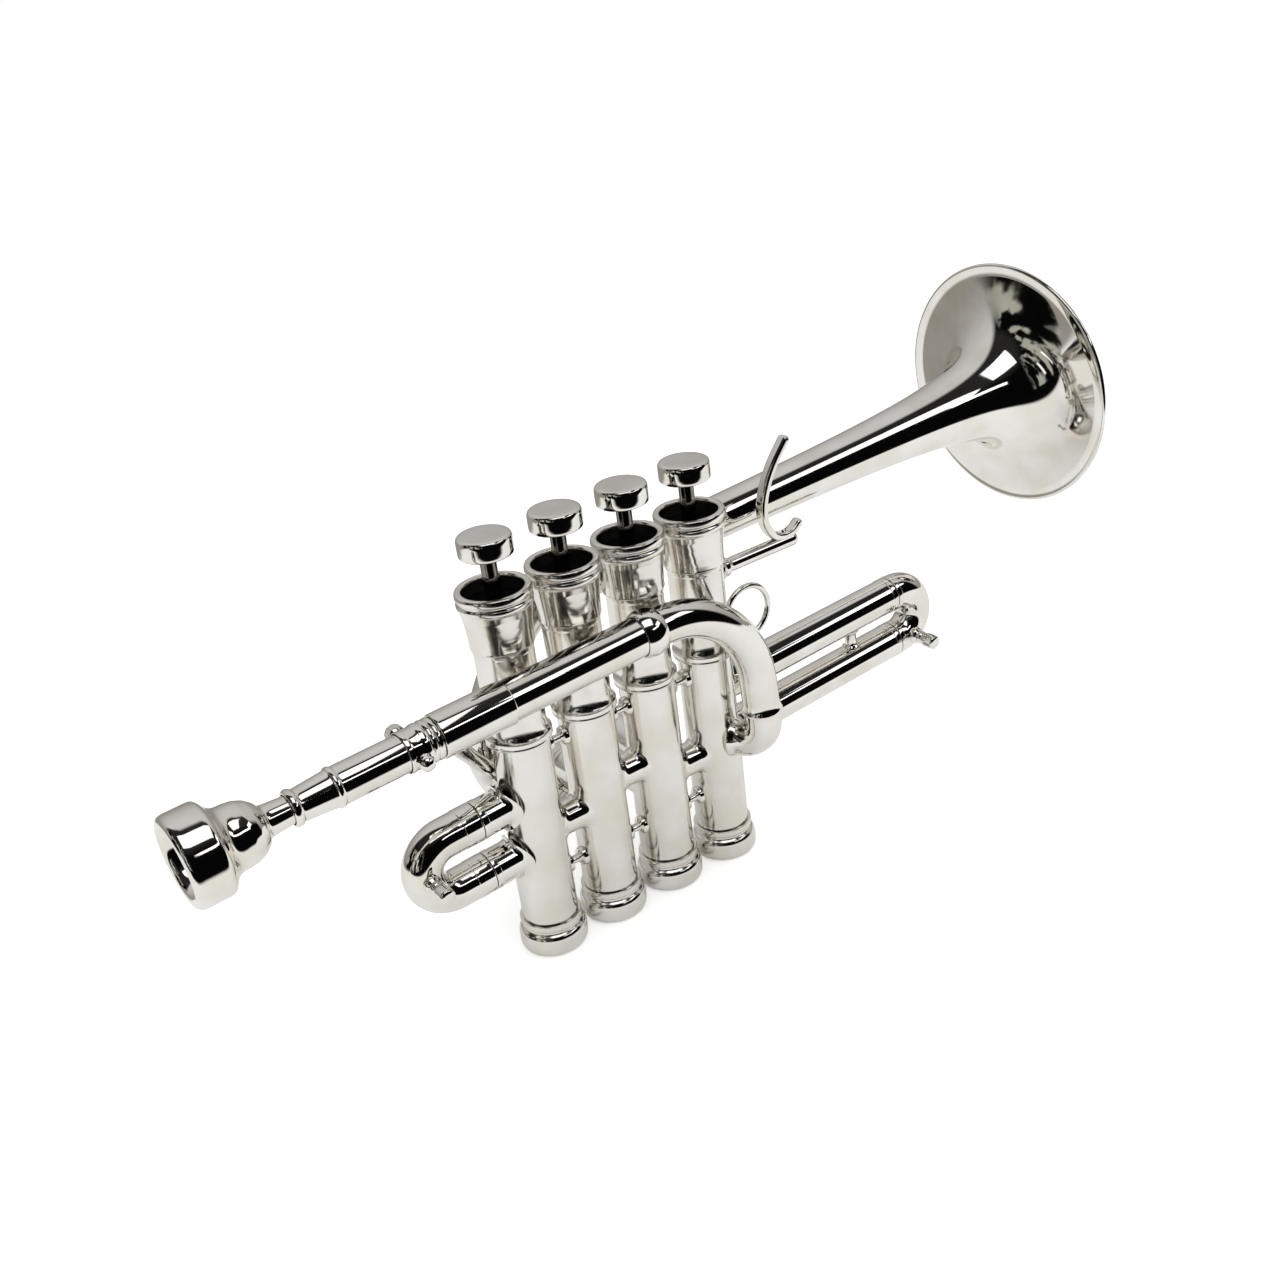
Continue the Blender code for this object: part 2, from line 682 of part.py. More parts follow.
def make_felt(index):
    number = index + 1
    bottom = TOP_CAP_FLOOR + SEAT_GAP
    inner = STEM_RADIUS + SLIDING_GAP + 0.2
    outer = TOP_CAP_RECESS_RADIUS - 0.4
    profile = [(outer, FELT_TOP), (outer, bottom), (inner, bottom), (inner, FELT_TOP)]
    felt = finish(f"felt_{number}_felt", (0.012, 0.012, 0.012), 0.95, 0.0)
    return turned(f"felt_{number}", profile, felt, place=(valve_place(index), 0, 0), steps=PISTON_STEPS)


def make_spring(index):
    number = index + 1
    place = valve_place(index)
    bottom = BOTTOM_CAP_FLOOR + SEAT_GAP + SPRING_WIRE_RADIUS
    top = PISTON_BOTTOM + SPRING_POCKET_DEPTH - SEAT_GAP - SPRING_WIRE_RADIUS
    count = SPRING_CURLS * SPRING_POINTS
    path = []
    for step in range(count + 1):
        angle = 2.0 * math.pi * step / SPRING_POINTS
        height = bottom + (top - bottom) * step / count
        point = (SPRING_RADIUS * math.cos(angle) + place, SPRING_RADIUS * math.sin(angle), height)
        path.append((point, SPRING_WIRE_RADIUS))
    if index == 0:
        gap = (top - bottom) / SPRING_CURLS - 2.0 * SPRING_WIRE_RADIUS
        print(f"least gap between spring curls: {gap:.2f} mm")
    steel = finish(f"spring_{number}_steel", (0.55, 0.55, 0.56), 0.3, 1.0)
    return bent(f"spring_{number}", path, steel, resolution=SPRING_RESOLUTION)


def make_valves():
    ports = port_list()
    for index in range(VALVE_COUNT):
        make_casing(index, ports[index])
        make_piston(index)
        make_top_cap(index)
        make_bottom_cap(index)
        make_button(index)
        make_felt(index)
        make_spring(index)


def spool(name, index, height, radius, waist, flare=0.0, bore=0.0):
    # A turned tube or brace between two casings, cut to their round walls.
    centre = (valve_place(index) + valve_place(index + 1)) / 2.0
    reach = VALVE_SPACING / 2.0 - CASING_RADIUS * 0.55
    flat = VALVE_SPACING / 2.0 - CASING_RADIUS - 1.2
    profile = [(radius + flare, reach), (radius + flare, flat + 0.9 + flare), (waist, flat),
               (waist, -flat), (radius + flare, -flat - 0.9 - flare), (radius + flare, -reach)]
    if bore:
        profile += [(bore, -reach), (bore, reach)]
    else:
        profile = [(0.0, reach)] + profile + [(0.0, -reach)]
    piece = turned(name, profile, silver(name + "_silver"), place=(centre, 0, height), turn=ALONG,
                   steps=TUBE_STEPS if bore else BRACE_STEPS, closed=bore > 0)
    combine(piece, CLEARANCES[index])
    combine(piece, CLEARANCES[index + 1])
    return piece


def make_row_joints():
    for index in range(VALVE_COUNT - 1):
        pair = f"{index + 1}_{index + 2}"
        spool(f"knuckle_{pair}", index, KNUCKLE_HEIGHTS[index], KNUCKLE_RADIUS - KNUCKLE_FLARE * 0.2,
              KNUCKLE_RADIUS - 0.4, flare=KNUCKLE_FLARE * 0.6, bore=PASSAGE_RADIUS + 0.6)
        spool(f"upper_brace_{pair}", index, UPPER_BRACE_HEIGHT, SPOOL_RADIUS, SPOOL_WAIST_RADIUS)
        spool(f"lower_brace_{pair}", index, LOWER_BRACE_HEIGHT, SPOOL_RADIUS, SPOOL_WAIST_RADIUS)


def make_mouthpiece():
    start = MOUTHPIECE_START
    rim = MOUTHPIECE_RIM_RADIUS
    cup = MOUTHPIECE_CUP_RADIUS
    throat = MOUTHPIECE_THROAT_RADIUS
    bowl = MOUTHPIECE_BOWL_RADIUS
    long = MOUTHPIECE_BOWL_LENGTH
    deep = MOUTHPIECE_CUP_DEPTH
    shank = MOUTHPIECE_SHANK_RADIUS
    wide = MOUTHPIECE_RIM_WIDTH
    tip = RECEIVER_START + SHANK_LENGTH
    profile = [
        (shank * 0.86, tip),
        (shank, RECEIVER_START - SEAT_GAP),
        (bowl * 0.51, start + long),
        (bowl * 0.71, start + long * 0.94),
        (bowl * 0.885, start + long * 0.854),
        (bowl * 0.99, start + long * 0.74),
        (bowl, start + long * 0.615),
        (bowl + (rim - bowl) * 0.1, start + wide * 1.4),
        (bowl + (rim - bowl) * 0.45, start + wide * 1.24),
        (rim - 0.4, start + wide * 1.12),
        (rim, start + wide),
        (rim, start + 1.6),
        (rim - 0.6, start + 0.4),
        (rim - 1.6, start),
        (cup + 1.2, start + 0.3),
        (cup, start + deep * 0.08),
        (cup * 0.94, start + deep * 0.3),
        (cup * 0.76, start + deep * 0.58),
        (cup * 0.47, start + deep * 0.83),
        (throat, start + deep),
        (throat, start + deep * 1.2),
        (shank * 0.72, tip),
    ]
    return turned("mouthpiece", profile, silver("mouthpiece_silver", 0.06), LEADPIPE_LINE, turn=ALONG,
                  steps=MOUTHPIECE_STEPS)


def make_leadpipe():
    start = RECEIVER_START
    seam = start + RECEIVER_LENGTH
    bore = PIPE_RADIUS - PIPE_WALL
    mouth = PIPE_RADIUS - RECEIVER_TAPER
    socket = MOUTHPIECE_SHANK_RADIUS + SEAT_GAP
    profile = [
        (PIPE_RADIUS, PIPE_END),
        (PIPE_RADIUS, seam + 0.4),
        (PIPE_RADIUS + 0.4, seam),
        (PIPE_RADIUS + 0.4, seam - 1.2),
        (PIPE_RADIUS - 0.25, seam - 1.8),
        (mouth, start + 2.6),
        (mouth + 0.75, start + 2.0),
        (mouth + 0.75, start + 0.7),
        (mouth + 0.3, start),
        (socket, start),
        (socket * 0.87, start + SHANK_LENGTH + 0.5),
        (bore, start + SHANK_LENGTH + 3.0),
        (bore, PIPE_END),
    ]
    return turned("leadpipe", profile, silver("leadpipe_silver"), LEADPIPE_LINE, turn=ALONG,
                  steps=TUBE_STEPS)


def make_sleeve():
    end = FERRULE_PLACE - SEAT_GAP / 2.0
    start = SLEEVE_START + SEAT_GAP
    profile = [
        (SLEEVE_RADIUS, end),
        (SLEEVE_RADIUS, SLEEVE_SEAM),
        (SLEEVE_WIDE_RADIUS, SLEEVE_SEAM - 0.2),
        (SLEEVE_WIDE_RADIUS, start),
        (PIPE_BORE, start),
        (PIPE_BORE, end),
    ]
    return turned("leadpipe_sleeve", profile, silver("leadpipe_sleeve_silver"), LEADPIPE_LINE, turn=ALONG,
                  steps=TUBE_STEPS)


def make_ferrule():
    half = FERRULE_LENGTH / 2.0
    bore = (SLEEVE_RADIUS + SEAT_GAP) / math.cos(math.pi / TUBE_STEPS)
    edge = bore + (FERRULE_RADIUS - bore) * 0.25
    side = bore + (FERRULE_RADIUS - bore) * 0.75
    profile = [(edge, half), (side, half * 0.55), (FERRULE_RADIUS, 0.0), (side, -half * 0.55),
               (edge, -half), (bore, -half), (bore, half)]
    return turned("ball_ferrule", profile, silver("ball_ferrule_silver", 0.05), LEADPIPE_LINE,
                  place=(FERRULE_PLACE, 0, 0), turn=ALONG, steps=TUBE_STEPS)


def crook_parts():
    # The points of the bend and those of the elbow under its leg.
    elbow = elbow_path(LEADPIPE_LINE, CROOK_LEG_PLACE, CROOK_PORT_HEIGHT, 3)
    bend_end = (CROOK_LEG_PLACE, 0, elbow[0].z + CROOK_LEG_LENGTH)
    return drawn_bend((CROOK_BEND_PLACE, 0, 0), bend_end, CIRCLE_PULL), elbow


def make_crook():
    frame = LEADPIPE_LINE
    bend, elbow = crook_parts()
    points = [Vector((FERRULE_PLACE + SEAT_GAP / 2.0, 0, 0))] + bend
    path = with_radius(points, CROOK_RADIUS)
    seam = bend[-1].z - CROOK_SEAM_DROP
    ring = CROOK_RADIUS + CROOK_RING_PROUD
    slope = CROOK_RING_PROUD / 2.0
    for rise, radius in ((CROOK_RING_WIDTH + slope, CROOK_RADIUS), (CROOK_RING_WIDTH, ring), (slope, ring),
                         (0.0, CROOK_RADIUS)):
        path.append((Vector((CROOK_LEG_PLACE, 0, seam + rise)), radius))
    path += with_radius(elbow, CROOK_RADIUS)
    crook = hollow("leadpipe_crook", path, CROOK_RADIUS - TUBE_WALL, silver("leadpipe_crook_silver"), frame,
                   points + elbow)
    combine(crook, CLEARANCES[3])
    return crook


def crook_clearance():
    # The space that the fourth slide leaves free for the crook.
    bend, elbow = crook_parts()
    return bent("crook_clearance", with_radius(bend + elbow, CROOK_RADIUS + SEAT_GAP), None,
                LEADPIPE_LINE, CLEARANCE_RESOLUTION)


def clamp_point(distance, tilt=0.0):
    # A point beside the leadpipe's axis, level with the clamp screw or tilted below it.
    slope = math.radians(tilt)
    return Vector((CLAMP_SCREW_PLACE, math.cos(slope) * distance, math.sin(slope) * distance))


def make_clamp():
    frame = LEADPIPE_LINE
    beads = (SLEEVE_START - CLAMP_START) * 0.53
    profile = [(0.0, SLEEVE_START), (CLAMP_RADIUS - 0.1, SLEEVE_START),
               (CLAMP_RADIUS, SLEEVE_START - beads * 0.4), (CLAMP_RADIUS - 0.3, SLEEVE_START - beads * 0.7),
               (CLAMP_RADIUS, SLEEVE_START - beads), (CLAMP_RADIUS - 0.2, CLAMP_START + 1.6),
               (CLAMP_RADIUS - 0.25, CLAMP_START), (0.0, CLAMP_START)]
    clamp = turned("leadpipe_clamp", profile, silver("leadpipe_clamp_silver"), frame, turn=ALONG,
                   steps=ROUND_STEPS, closed=False)
    root = PIPE_RADIUS - ROOT_DEPTH
    boss = rod("clamp_boss", CLAMP_BOSS_RADIUS, clamp_point(root), clamp_point(CLAMP_BOSS_END), frame)
    combine(clamp, boss, "UNION")
    near = [(clamp_point(-distance, CLAMP_BOSS_TILT), CLAMP_BOSS_RADIUS * share)
            for distance, share in ((root, 1.0), (CLAMP_BOSS_END, 1.0), (CLAMP_BOSS_END + 1.6, 0.6))]
    combine(clamp, bent("clamp_near_boss", near, None, frame), "UNION")
    bore = rod("clamp_bore", PIPE_BORE, (CLAMP_START - OVERCUT, 0, 0), (SLEEVE_START + OVERCUT, 0, 0), frame,
               ROUND_STEPS * 2)
    combine(clamp, bore)
    hole = rod("clamp_hole", CLAMP_SCREW_RADIUS + SLIDING_GAP, clamp_point(0.0),
               clamp_point(CLAMP_BOSS_END + OVERCUT), frame)
    combine(clamp, hole)
    return clamp


def make_clamp_screw():
    tip = PIPE_RADIUS + SEAT_GAP
    head = CLAMP_BOSS_END + SEAT_GAP
    radius = CLAMP_KNOB_RADIUS
    profile = [(0.0, head + 4.6), (radius * 0.8, head + 4.6), (radius, head + 3.8), (radius, head + 1.4),
               (radius * 0.7, head), (CLAMP_SCREW_RADIUS, head), (CLAMP_SCREW_RADIUS, tip), (0.0, tip)]
    return turned("clamp_screw", profile, silver("clamp_screw_silver"), LEADPIPE_LINE,
                  place=(CLAMP_SCREW_PLACE, 0, 0), turn=(-math.pi / 2.0, 0, 0), steps=TUBE_STEPS,
                  closed=False)


def make_tail_brace(clearance):
    # A strut with flared ends from the sleeve down to the middle of the tail's elbow.
    start = from_line(LEADPIPE_LINE, (TAIL_BRACE_PLACE, 0, 0))
    elbow = elbow_path(BELL_LINE, TAIL_LEG_PLACE, TAIL_PORT_HEIGHT, 0)
    end = from_line(BELL_LINE, elbow[ELBOW_STEPS // 2])
    way = (end - start).normalized()
    length = (end - start).length
    radius = TAIL_BRACE_RADIUS
    first = SLEEVE_WIDE_RADIUS
    last = length - TAIL_RADIUS
    marks = ((first / 2.0, 1.7), (first + 1.4, 1.7), (first + 4.0, 1.0), (last - 5.0, 1.0),
             (last - 1.4, 1.9), (last + TAIL_RADIUS / 3.0, 1.9))
    path = [(start + way * distance, radius * share) for distance, share in marks]
    brace = bent("tail_brace", path, silver("tail_brace_silver"))
    seat = rod("tail_brace_seat", SLEEVE_WIDE_RADIUS + SEAT_GAP, (SLEEVE_START - CLEARANCE_REACH, 0, 0),
               (SLEEVE_START + CLEARANCE_REACH, 0, 0), LEADPIPE_LINE, sides=TUBE_STEPS * 2)
    combine(brace, seat)
    return combine(brace, clearance)


def bell_radius(distance):
    # The radius at a distance behind the mouth, by a horn law: it falls as a power of the distance.
    share = (BELL_FLARE_LENGTH / (distance + BELL_FLARE_LENGTH)) ** BELL_FLARE_POWER
    return BELL_THROAT_RADIUS + (BELL_MOUTH_RADIUS - BELL_THROAT_RADIUS) * share


def bell_outline(count=11):
    # Points grow apart evenly by ratio from the mouth to the start of the stem.
    length = BELL_MOUTH - BELL_START
    ratio = (length / BELL_FLARE_LENGTH + 1.0) ** (1.0 / count)
    outline = []
    for step in range(count + 1):
        distance = BELL_FLARE_LENGTH * (ratio ** step - 1.0)
        outline.append((bell_radius(distance), BELL_MOUTH - distance))
    return outline


def offset_inward(outline, wall):
    inner = []
    last = len(outline) - 1
    for step, (radius, place) in enumerate(outline):
        before = outline[max(step - 1, 0)]
        after = outline[min(step + 1, last)]
        way = Vector((after[0] - before[0], after[1] - before[1])).normalized()
        inner.append((radius + way.y * wall, place - way.x * wall))
    return inner


def make_bell():
    outer = bell_outline()
    inner = offset_inward(outer, BELL_WALL)
    bead = []
    for step in range(BELL_BEAD_STEPS + 1):
        angle = math.pi * (0.15 + 1.1 * step / BELL_BEAD_STEPS)
        bead.append((BELL_MOUTH_RADIUS + BELL_BEAD_RADIUS * (0.6 + math.sin(angle)),
                     BELL_MOUTH - 0.1 + BELL_BEAD_RADIUS * math.cos(angle)))
    inner[0] = (BELL_MOUTH_RADIUS - 0.6, BELL_MOUTH + 0.55)
    profile = bead + outer[1:] + inner[::-1]
    return turned("bell", profile, silver("bell_silver", 0.05), BELL_LINE, turn=ALONG, steps=BELL_STEPS)


def tail_path(radius):
    elbow = elbow_path(BELL_LINE, TAIL_LEG_PLACE, TAIL_PORT_HEIGHT, 0)
    bend_start = (TAIL_LEG_PLACE + TAIL_BEND_RADIUS, 0, 0)
    bend_end = (TAIL_LEG_PLACE, 0, elbow[0].z + TAIL_LEG_LENGTH)
    return with_radius(drawn_bend(bend_start, bend_end, TAIL_BEND_PULL) + elbow, radius)


def tail_clearance():
    # The space that the strut and the first slide leave free for the bell's tail.
    return bent("tail_clearance", tail_path(TAIL_RADIUS + SEAT_GAP), None, BELL_LINE, CLEARANCE_RESOLUTION)


def make_bell_tail():
    frame = BELL_LINE
    start = BELL_START - SEAT_GAP
    ferrule = bell_radius(BELL_MOUTH - BELL_START) + 0.5
    path = [(Vector((start, 0, 0)), ferrule), (Vector((start - TAIL_FERRULE_LENGTH, 0, 0)), ferrule)]
    path += tail_path(TAIL_RADIUS)
    tail = hollow("bell_tail", path, TAIL_RADIUS - TUBE_WALL, silver("bell_tail_silver"), frame)
    combine(tail, CLEARANCES[0])
    return tail


def tube_brace(name, index, height, tube_radius, frame):
    # A short brace from a height on a casing to the axis of the tube beside it, cut to both.
    place = valve_place(index)
    start = Vector((place, 0, height))
    rise = place / math.cos(math.radians(TUBE_PITCH))
    end = from_line(frame, (rise, 0, 0))
    piece = bent(name, with_radius([start, end], TUBE_BRACE_RADIUS), silver(name + "_silver"))
    combine(piece, CLEARANCES[index])
    seat = rod(name + "_seat", tube_radius + SEAT_GAP, (place - CLEARANCE_REACH, 0, 0),
               (place + CLEARANCE_REACH, 0, 0), frame, sides=ROUND_STEPS * 2)
    return combine(piece, seat)


def make_tube_braces():
    for index in (2, 3):
        stem = bell_radius(BELL_MOUTH - valve_place(index) - TUBE_BRACE_RADIUS)
        tube_brace(f"bell_brace_{index + 1}", index, BELL_BRACE_HEIGHT, stem, BELL_LINE)
    tube_brace("leadpipe_brace", 0, LEADPIPE_BRACE_HEIGHT, SLEEVE_RADIUS, LEADPIPE_LINE)


def slide_tube(name, frame, drop, start, end, material=None):
    # An outer slide tube from a casing to its open end, with a ring at that end.
    way = 1.0 if end > start else -1.0
    ring = TUBE_RADIUS + END_RING_PROUD
    ring_start = end - way * END_RING_WIDTH
    reach = sorted([(TUBE_RADIUS, start), (TUBE_RADIUS, ring_start - way * END_RING_PROUD),
                    (ring, ring_start), (ring, end)], key=lambda point: -point[1])
    bottom = min(start, end)
    top = max(start, end)
    profile = reach + [(SLIDE_BORE, bottom), (SLIDE_BORE, top)]
    return turned(name, profile, material, frame, place=(0, 0, -drop), turn=ALONG, steps=TUBE_STEPS)


def make_first_slide(clearance):
    frame = FIRST_SLIDE_LINE
    start = -CASING_RADIUS + ROOT_DEPTH * 3.0
    for level, drop in (("upper", 0.0), ("lower", FIRST_SLIDE_DROP)):
        stub = slide_tube(f"slide_1_stub_{level}", frame, drop, start, FIRST_STUB_END,
                          silver(f"slide_1_stub_{level}_silver"))
        combine(stub, CLEARANCES[0])
        combine(stub, clearance)
    tip = -CASING_CLEARANCE - SEAT_GAP - SLIDE_REST_GAP
    seat = FIRST_STUB_END - SEAT_GAP
    ferrule_end = seat - FIRST_BOW_FERRULE
    knob = turned("slide_1_knob", knob_profile(), None, frame,
                  place=bow_point(FIRST_BOW_CENTRE, FIRST_SLIDE_DROP, -1.0, FIRST_KNOB_ANGLE),
                  turn=(math.pi / 2.0, 0, 0), steps=BRACE_STEPS, closed=False)
    return bow("slide_1", frame, tip, seat, ferrule_end, FIRST_BOW_CENTRE, FIRST_SLIDE_DROP, knob=knob)


def bow_point(centre, drop, way, angle):
    # A point on a bow's middle line, by its angle below the bow's outermost point.
    half = drop / 2.0
    below = math.radians(angle)
    return (centre + way * half * math.cos(below), 0, -half - half * math.sin(below))


def knob_profile():
    # A small pull knob: a round end, a bead on its neck and a foot inside the bow's wall.
    radius = PULL_KNOB_RADIUS
    neck = radius * 0.75
    end = PULL_KNOB_END
    root = TUBE_RADIUS - ROOT_DEPTH
    long = end - root
    return [(0.0, end), (neck, end), (radius, end - long * 0.06), (radius, end - long * 0.41),
            (neck, end - long * 0.45), (neck, end - long * 0.57), (radius, end - long * 0.62),
            (radius, end - long * 0.67), (neck, end - long * 0.72), (radius * 1.18, end - long * 0.81),
            (radius * 1.18, root), (0.0, root)]


def bow(name, frame, tip, seat, ferrule_end, centre, drop, outer=TUBE_RADIUS, knob=None):
    # Two inner legs joined by a bow with a ferrule on each leg, as one bent tube.
    way = 1.0 if seat > tip else -1.0
    half = drop / 2.0
    collar = outer + BOW_FERRULE_PROUD
    upper = [(tip, LEG_RADIUS), (seat - way * 0.05, LEG_RADIUS), (seat, collar), (ferrule_end, collar),
             (ferrule_end + way * 0.3, outer)]
    path = [(Vector((place, 0, 0)), radius) for place, radius in upper]
    turn = arc((centre, 0, -half), (0, 0, 1), (way, 0, 0), half)
    turn += arc((centre, 0, -half), (way, 0, 0), (0, 0, -1), half)[1:]
    path += with_radius(turn, outer)
    path += [(Vector((place, 0, -drop)), radius) for place, radius in upper[::-1]]
    bore_path = [(tip, 0, 0)] + turn + [(tip, 0, -drop)]
    return hollow(name, path, LEG_RADIUS - LEG_WALL, silver(name + "_silver"), frame, bore_path, knob)


def make_fourth_slide(clearance):
    frame = FOURTH_SLIDE_LINE
    start = LAST_WALL_PLACE - ROOT_DEPTH * 3.0
    tubes = slide_tube("slide_4_tubes", frame, 0.0, start, FOURTH_TUBE_END, silver("slide_4_tubes_silver"))
    lower = slide_tube("slide_4_lower_tube", frame, FOURTH_SLIDE_DROP, start, FOURTH_TUBE_END)
    gap = FOURTH_SLIDE_DROP / 2.0 - TUBE_RADIUS
    reach = gap + TUBE_WALL
    wide = FOURTH_BRACE_RADIUS
    waist = FOURTH_BRACE_WAIST
    profile = [(0.0, reach), (wide, reach), (wide, gap * 0.75), (waist, gap * 0.45), (waist, -gap * 0.45),
               (wide, -gap * 0.75), (wide, -reach), (0.0, -reach)]
    brace = turned("slide_4_brace", profile, None, frame,
                   place=(FOURTH_BRACE_PLACE, 0, -FOURTH_SLIDE_DROP / 2.0), steps=FOURTH_BRACE_STEPS,
                   closed=False)
    combine(tubes, lower, "UNION")
    combine(tubes, brace, "UNION")
    combine(tubes, CLEARANCES[3])
    combine(tubes, clearance)
    seat = FOURTH_TUBE_END + SEAT_GAP
    knob = turned("slide_4_knob", knob_profile(), None, frame,
                  place=bow_point(FOURTH_BOW_CENTRE, FOURTH_SLIDE_DROP, 1.0, FOURTH_KNOB_ANGLE),
                  turn=(math.pi / 2.0, 0, 0), steps=BRACE_STEPS, closed=False)
    return bow("slide_4", frame, seat - FOURTH_LEG_LENGTH, seat, seat + 2.0, FOURTH_BOW_CENTRE,
               FOURTH_SLIDE_DROP, knob=knob)


def make_side_slides():
    # The second and third slides, on the far side of their casings.
    sizes = ((1, SECOND_STUB_END, SECOND_BOW_CENTRE), (2, THIRD_STUB_END, THIRD_BOW_CENTRE))
    for index, stub_end, centre in sizes:
        frame = line_frame(f"side_slide_line_{index + 1}", 0.0, SIDE_SLIDE_HEIGHT, (0, 0, math.pi / 2.0))
        frame.location.x = valve_place(index) * MM
        bpy.context.view_layer.update()
        tip = CASING_CLEARANCE + SEAT_GAP + SLIDE_REST_GAP
        seat = stub_end + SEAT_GAP
        bow(f"slide_{index + 1}", frame, tip, seat, seat + 2.0, centre, SIDE_SLIDE_DROP, SIDE_TUBE_RADIUS)


def make_hook():
    start = LAST_WALL_PLACE - ROOT_DEPTH * 2.0
    height = HOOK_ROD_HEIGHT
    radius = HOOK_ROD_RADIUS
    collar = radius + HOOK_COLLAR_PROUD
    collar_end = start + HOOK_COLLAR_LENGTH
    path = [((start, 0, height), collar), ((collar_end, 0, height), collar),
            ((collar_end + HOOK_COLLAR_PROUD, 0, height), radius),
            ((HOOK_ROD_END - radius * 0.8, 0, height), radius), ((HOOK_ROD_END, 0, height), radius * 0.6)]
    hook = bent("finger_hook", path, silver("finger_hook_silver"))
    combine(hook, CLEARANCES[3])
    outline = hook_outline()
    strip = bent_strip("finger_hook_strip", outline, HOOK_THICKNESS, HOOK_WIDTH)
    return combine(hook, strip, "UNION")


def hook_outline():
    # The strip's middle line in the plane of the valves: up, round the finger and forward.
    # Each pair is a share of the hook's depth and of its rise over the rod.
    back = HOOK_ROD_END - HOOK_SET_BACK
    shares = ((1.0, 0.162), (0.777, 0.089), (0.506, 0.068), (0.241, 0.11), (0.06, 0.22), (0.0, 0.353),
              (0.072, 0.537), (0.325, 0.759), (0.777, 1.0))
    return [(back + HOOK_DEPTH * deep, HOOK_ROD_HEIGHT + HOOK_RISE * high) for deep, high in shares]


def bent_strip(name, outline, thickness, width):
    # A flat outline on both sides of its middle line, extruded across the valves' plane.
    left = []
    right = []
    last = len(outline) - 1
    for step, (x, z) in enumerate(outline):
        before = outline[max(step - 1, 0)]
        after = outline[min(step + 1, last)]
        way = Vector((after[0] - before[0], after[1] - before[1])).normalized() * thickness / 2.0
        left.append((x - way.y, z + way.x))
        right.append((x + way.y, z - way.x))
    drawing = bpy.data.curves.new(name, "CURVE")
    drawing.dimensions = "2D"
    drawing.fill_mode = "BOTH"
    drawing.extrude = width / 2.0 * MM
    spline = drawing.splines.new("POLY")
    corners = left + right[::-1]
    spline.points.add(len(corners) - 1)
    for target, (x, z) in zip(spline.points, corners):
        target.co = (x * MM, z * MM, 0.0, 1.0)
    spline.use_cyclic_u = True
    curve = bpy.data.objects.new(name + "_curve", drawing)
    curve.rotation_euler = (math.pi / 2.0, 0, 0)
    PARTS.objects.link(curve)
    bpy.context.view_layer.update()
    graph = bpy.context.evaluated_depsgraph_get()
    mesh = bpy.data.meshes.new_from_object(curve.evaluated_get(graph))
    welded = bmesh.new()
    welded.from_mesh(mesh)
    bmesh.ops.remove_doubles(welded, verts=welded.verts, dist=MERGE)
    bmesh.ops.recalc_face_normals(welded, faces=welded.faces)
    welded.to_mesh(mesh)
    welded.free()
    piece = add_piece(name, mesh)
    piece.matrix_world = curve.matrix_world.copy()
    bpy.data.objects.remove(curve, do_unlink=True)
    bpy.data.curves.remove(drawing)
    return piece


def make_ring():
    # It hangs between the hook's rod and the upper tube of the fourth slide.
    lowest = from_line(FOURTH_SLIDE_LINE, (RING_PLACE, 0, TUBE_RADIUS)).z
    height = lowest + (HOOK_ROD_HEIGHT - HOOK_ROD_RADIUS - lowest) * RING_SHARE
    path = []
    for step in range(RING_STEPS):
        angle = 2.0 * math.pi * step / RING_STEPS
        point = (RING_PLACE + RING_RADIUS * math.cos(angle), 0, height + RING_RADIUS * math.sin(angle))
        path.append((point, RING_WIRE_RADIUS))
    ring = bent("finger_ring", path, silver("finger_ring_silver"), resolution=1, loop=True)
    foot = rod("finger_ring_foot", RING_WIRE_RADIUS * 1.3,
               (LAST_WALL_PLACE - ROOT_DEPTH, 0, height),
               (RING_PLACE - RING_RADIUS + 0.2, 0, height), sides=BRACE_STEPS)
    combine(ring, foot, "UNION")
    combine(ring, CLEARANCES[3])
    return ring


def build():
    make_valves()
    make_row_joints()
    make_mouthpiece()
    make_leadpipe()
    make_clamp()
    make_clamp_screw()
    make_sleeve()
    make_ferrule()
    make_crook()
    make_bell()
    make_bell_tail()
    free_of_tail = tail_clearance()
    make_tail_brace(free_of_tail)
    make_tube_braces()
    make_first_slide(free_of_tail)
    make_fourth_slide(crook_clearance())
    make_side_slides()
    make_hook()
    make_ring()
    bpy.context.view_layer.update()


build()
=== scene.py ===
# Looks of a silver-plated piccolo trumpet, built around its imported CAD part.
# Everything below is worked out in millimetres and turned to metres when a mesh is made.
import math

import bmesh
import bpy
import numpy as np
from mathutils import Matrix


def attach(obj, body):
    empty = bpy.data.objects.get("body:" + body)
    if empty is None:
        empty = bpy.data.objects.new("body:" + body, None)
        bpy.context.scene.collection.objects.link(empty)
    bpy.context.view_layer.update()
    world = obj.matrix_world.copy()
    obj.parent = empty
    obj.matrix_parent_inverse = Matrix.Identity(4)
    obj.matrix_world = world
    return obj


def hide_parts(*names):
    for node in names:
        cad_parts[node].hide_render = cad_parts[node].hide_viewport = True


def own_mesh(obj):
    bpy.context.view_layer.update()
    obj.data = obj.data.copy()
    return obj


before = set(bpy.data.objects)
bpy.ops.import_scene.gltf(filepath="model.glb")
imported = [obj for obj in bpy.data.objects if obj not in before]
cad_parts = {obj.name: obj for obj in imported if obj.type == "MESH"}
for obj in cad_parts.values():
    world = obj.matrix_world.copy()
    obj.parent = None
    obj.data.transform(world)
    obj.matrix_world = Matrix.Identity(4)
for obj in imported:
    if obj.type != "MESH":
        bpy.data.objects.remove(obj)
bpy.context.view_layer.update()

mm = 0.001


# ---- directions and lines that the pieces share ----

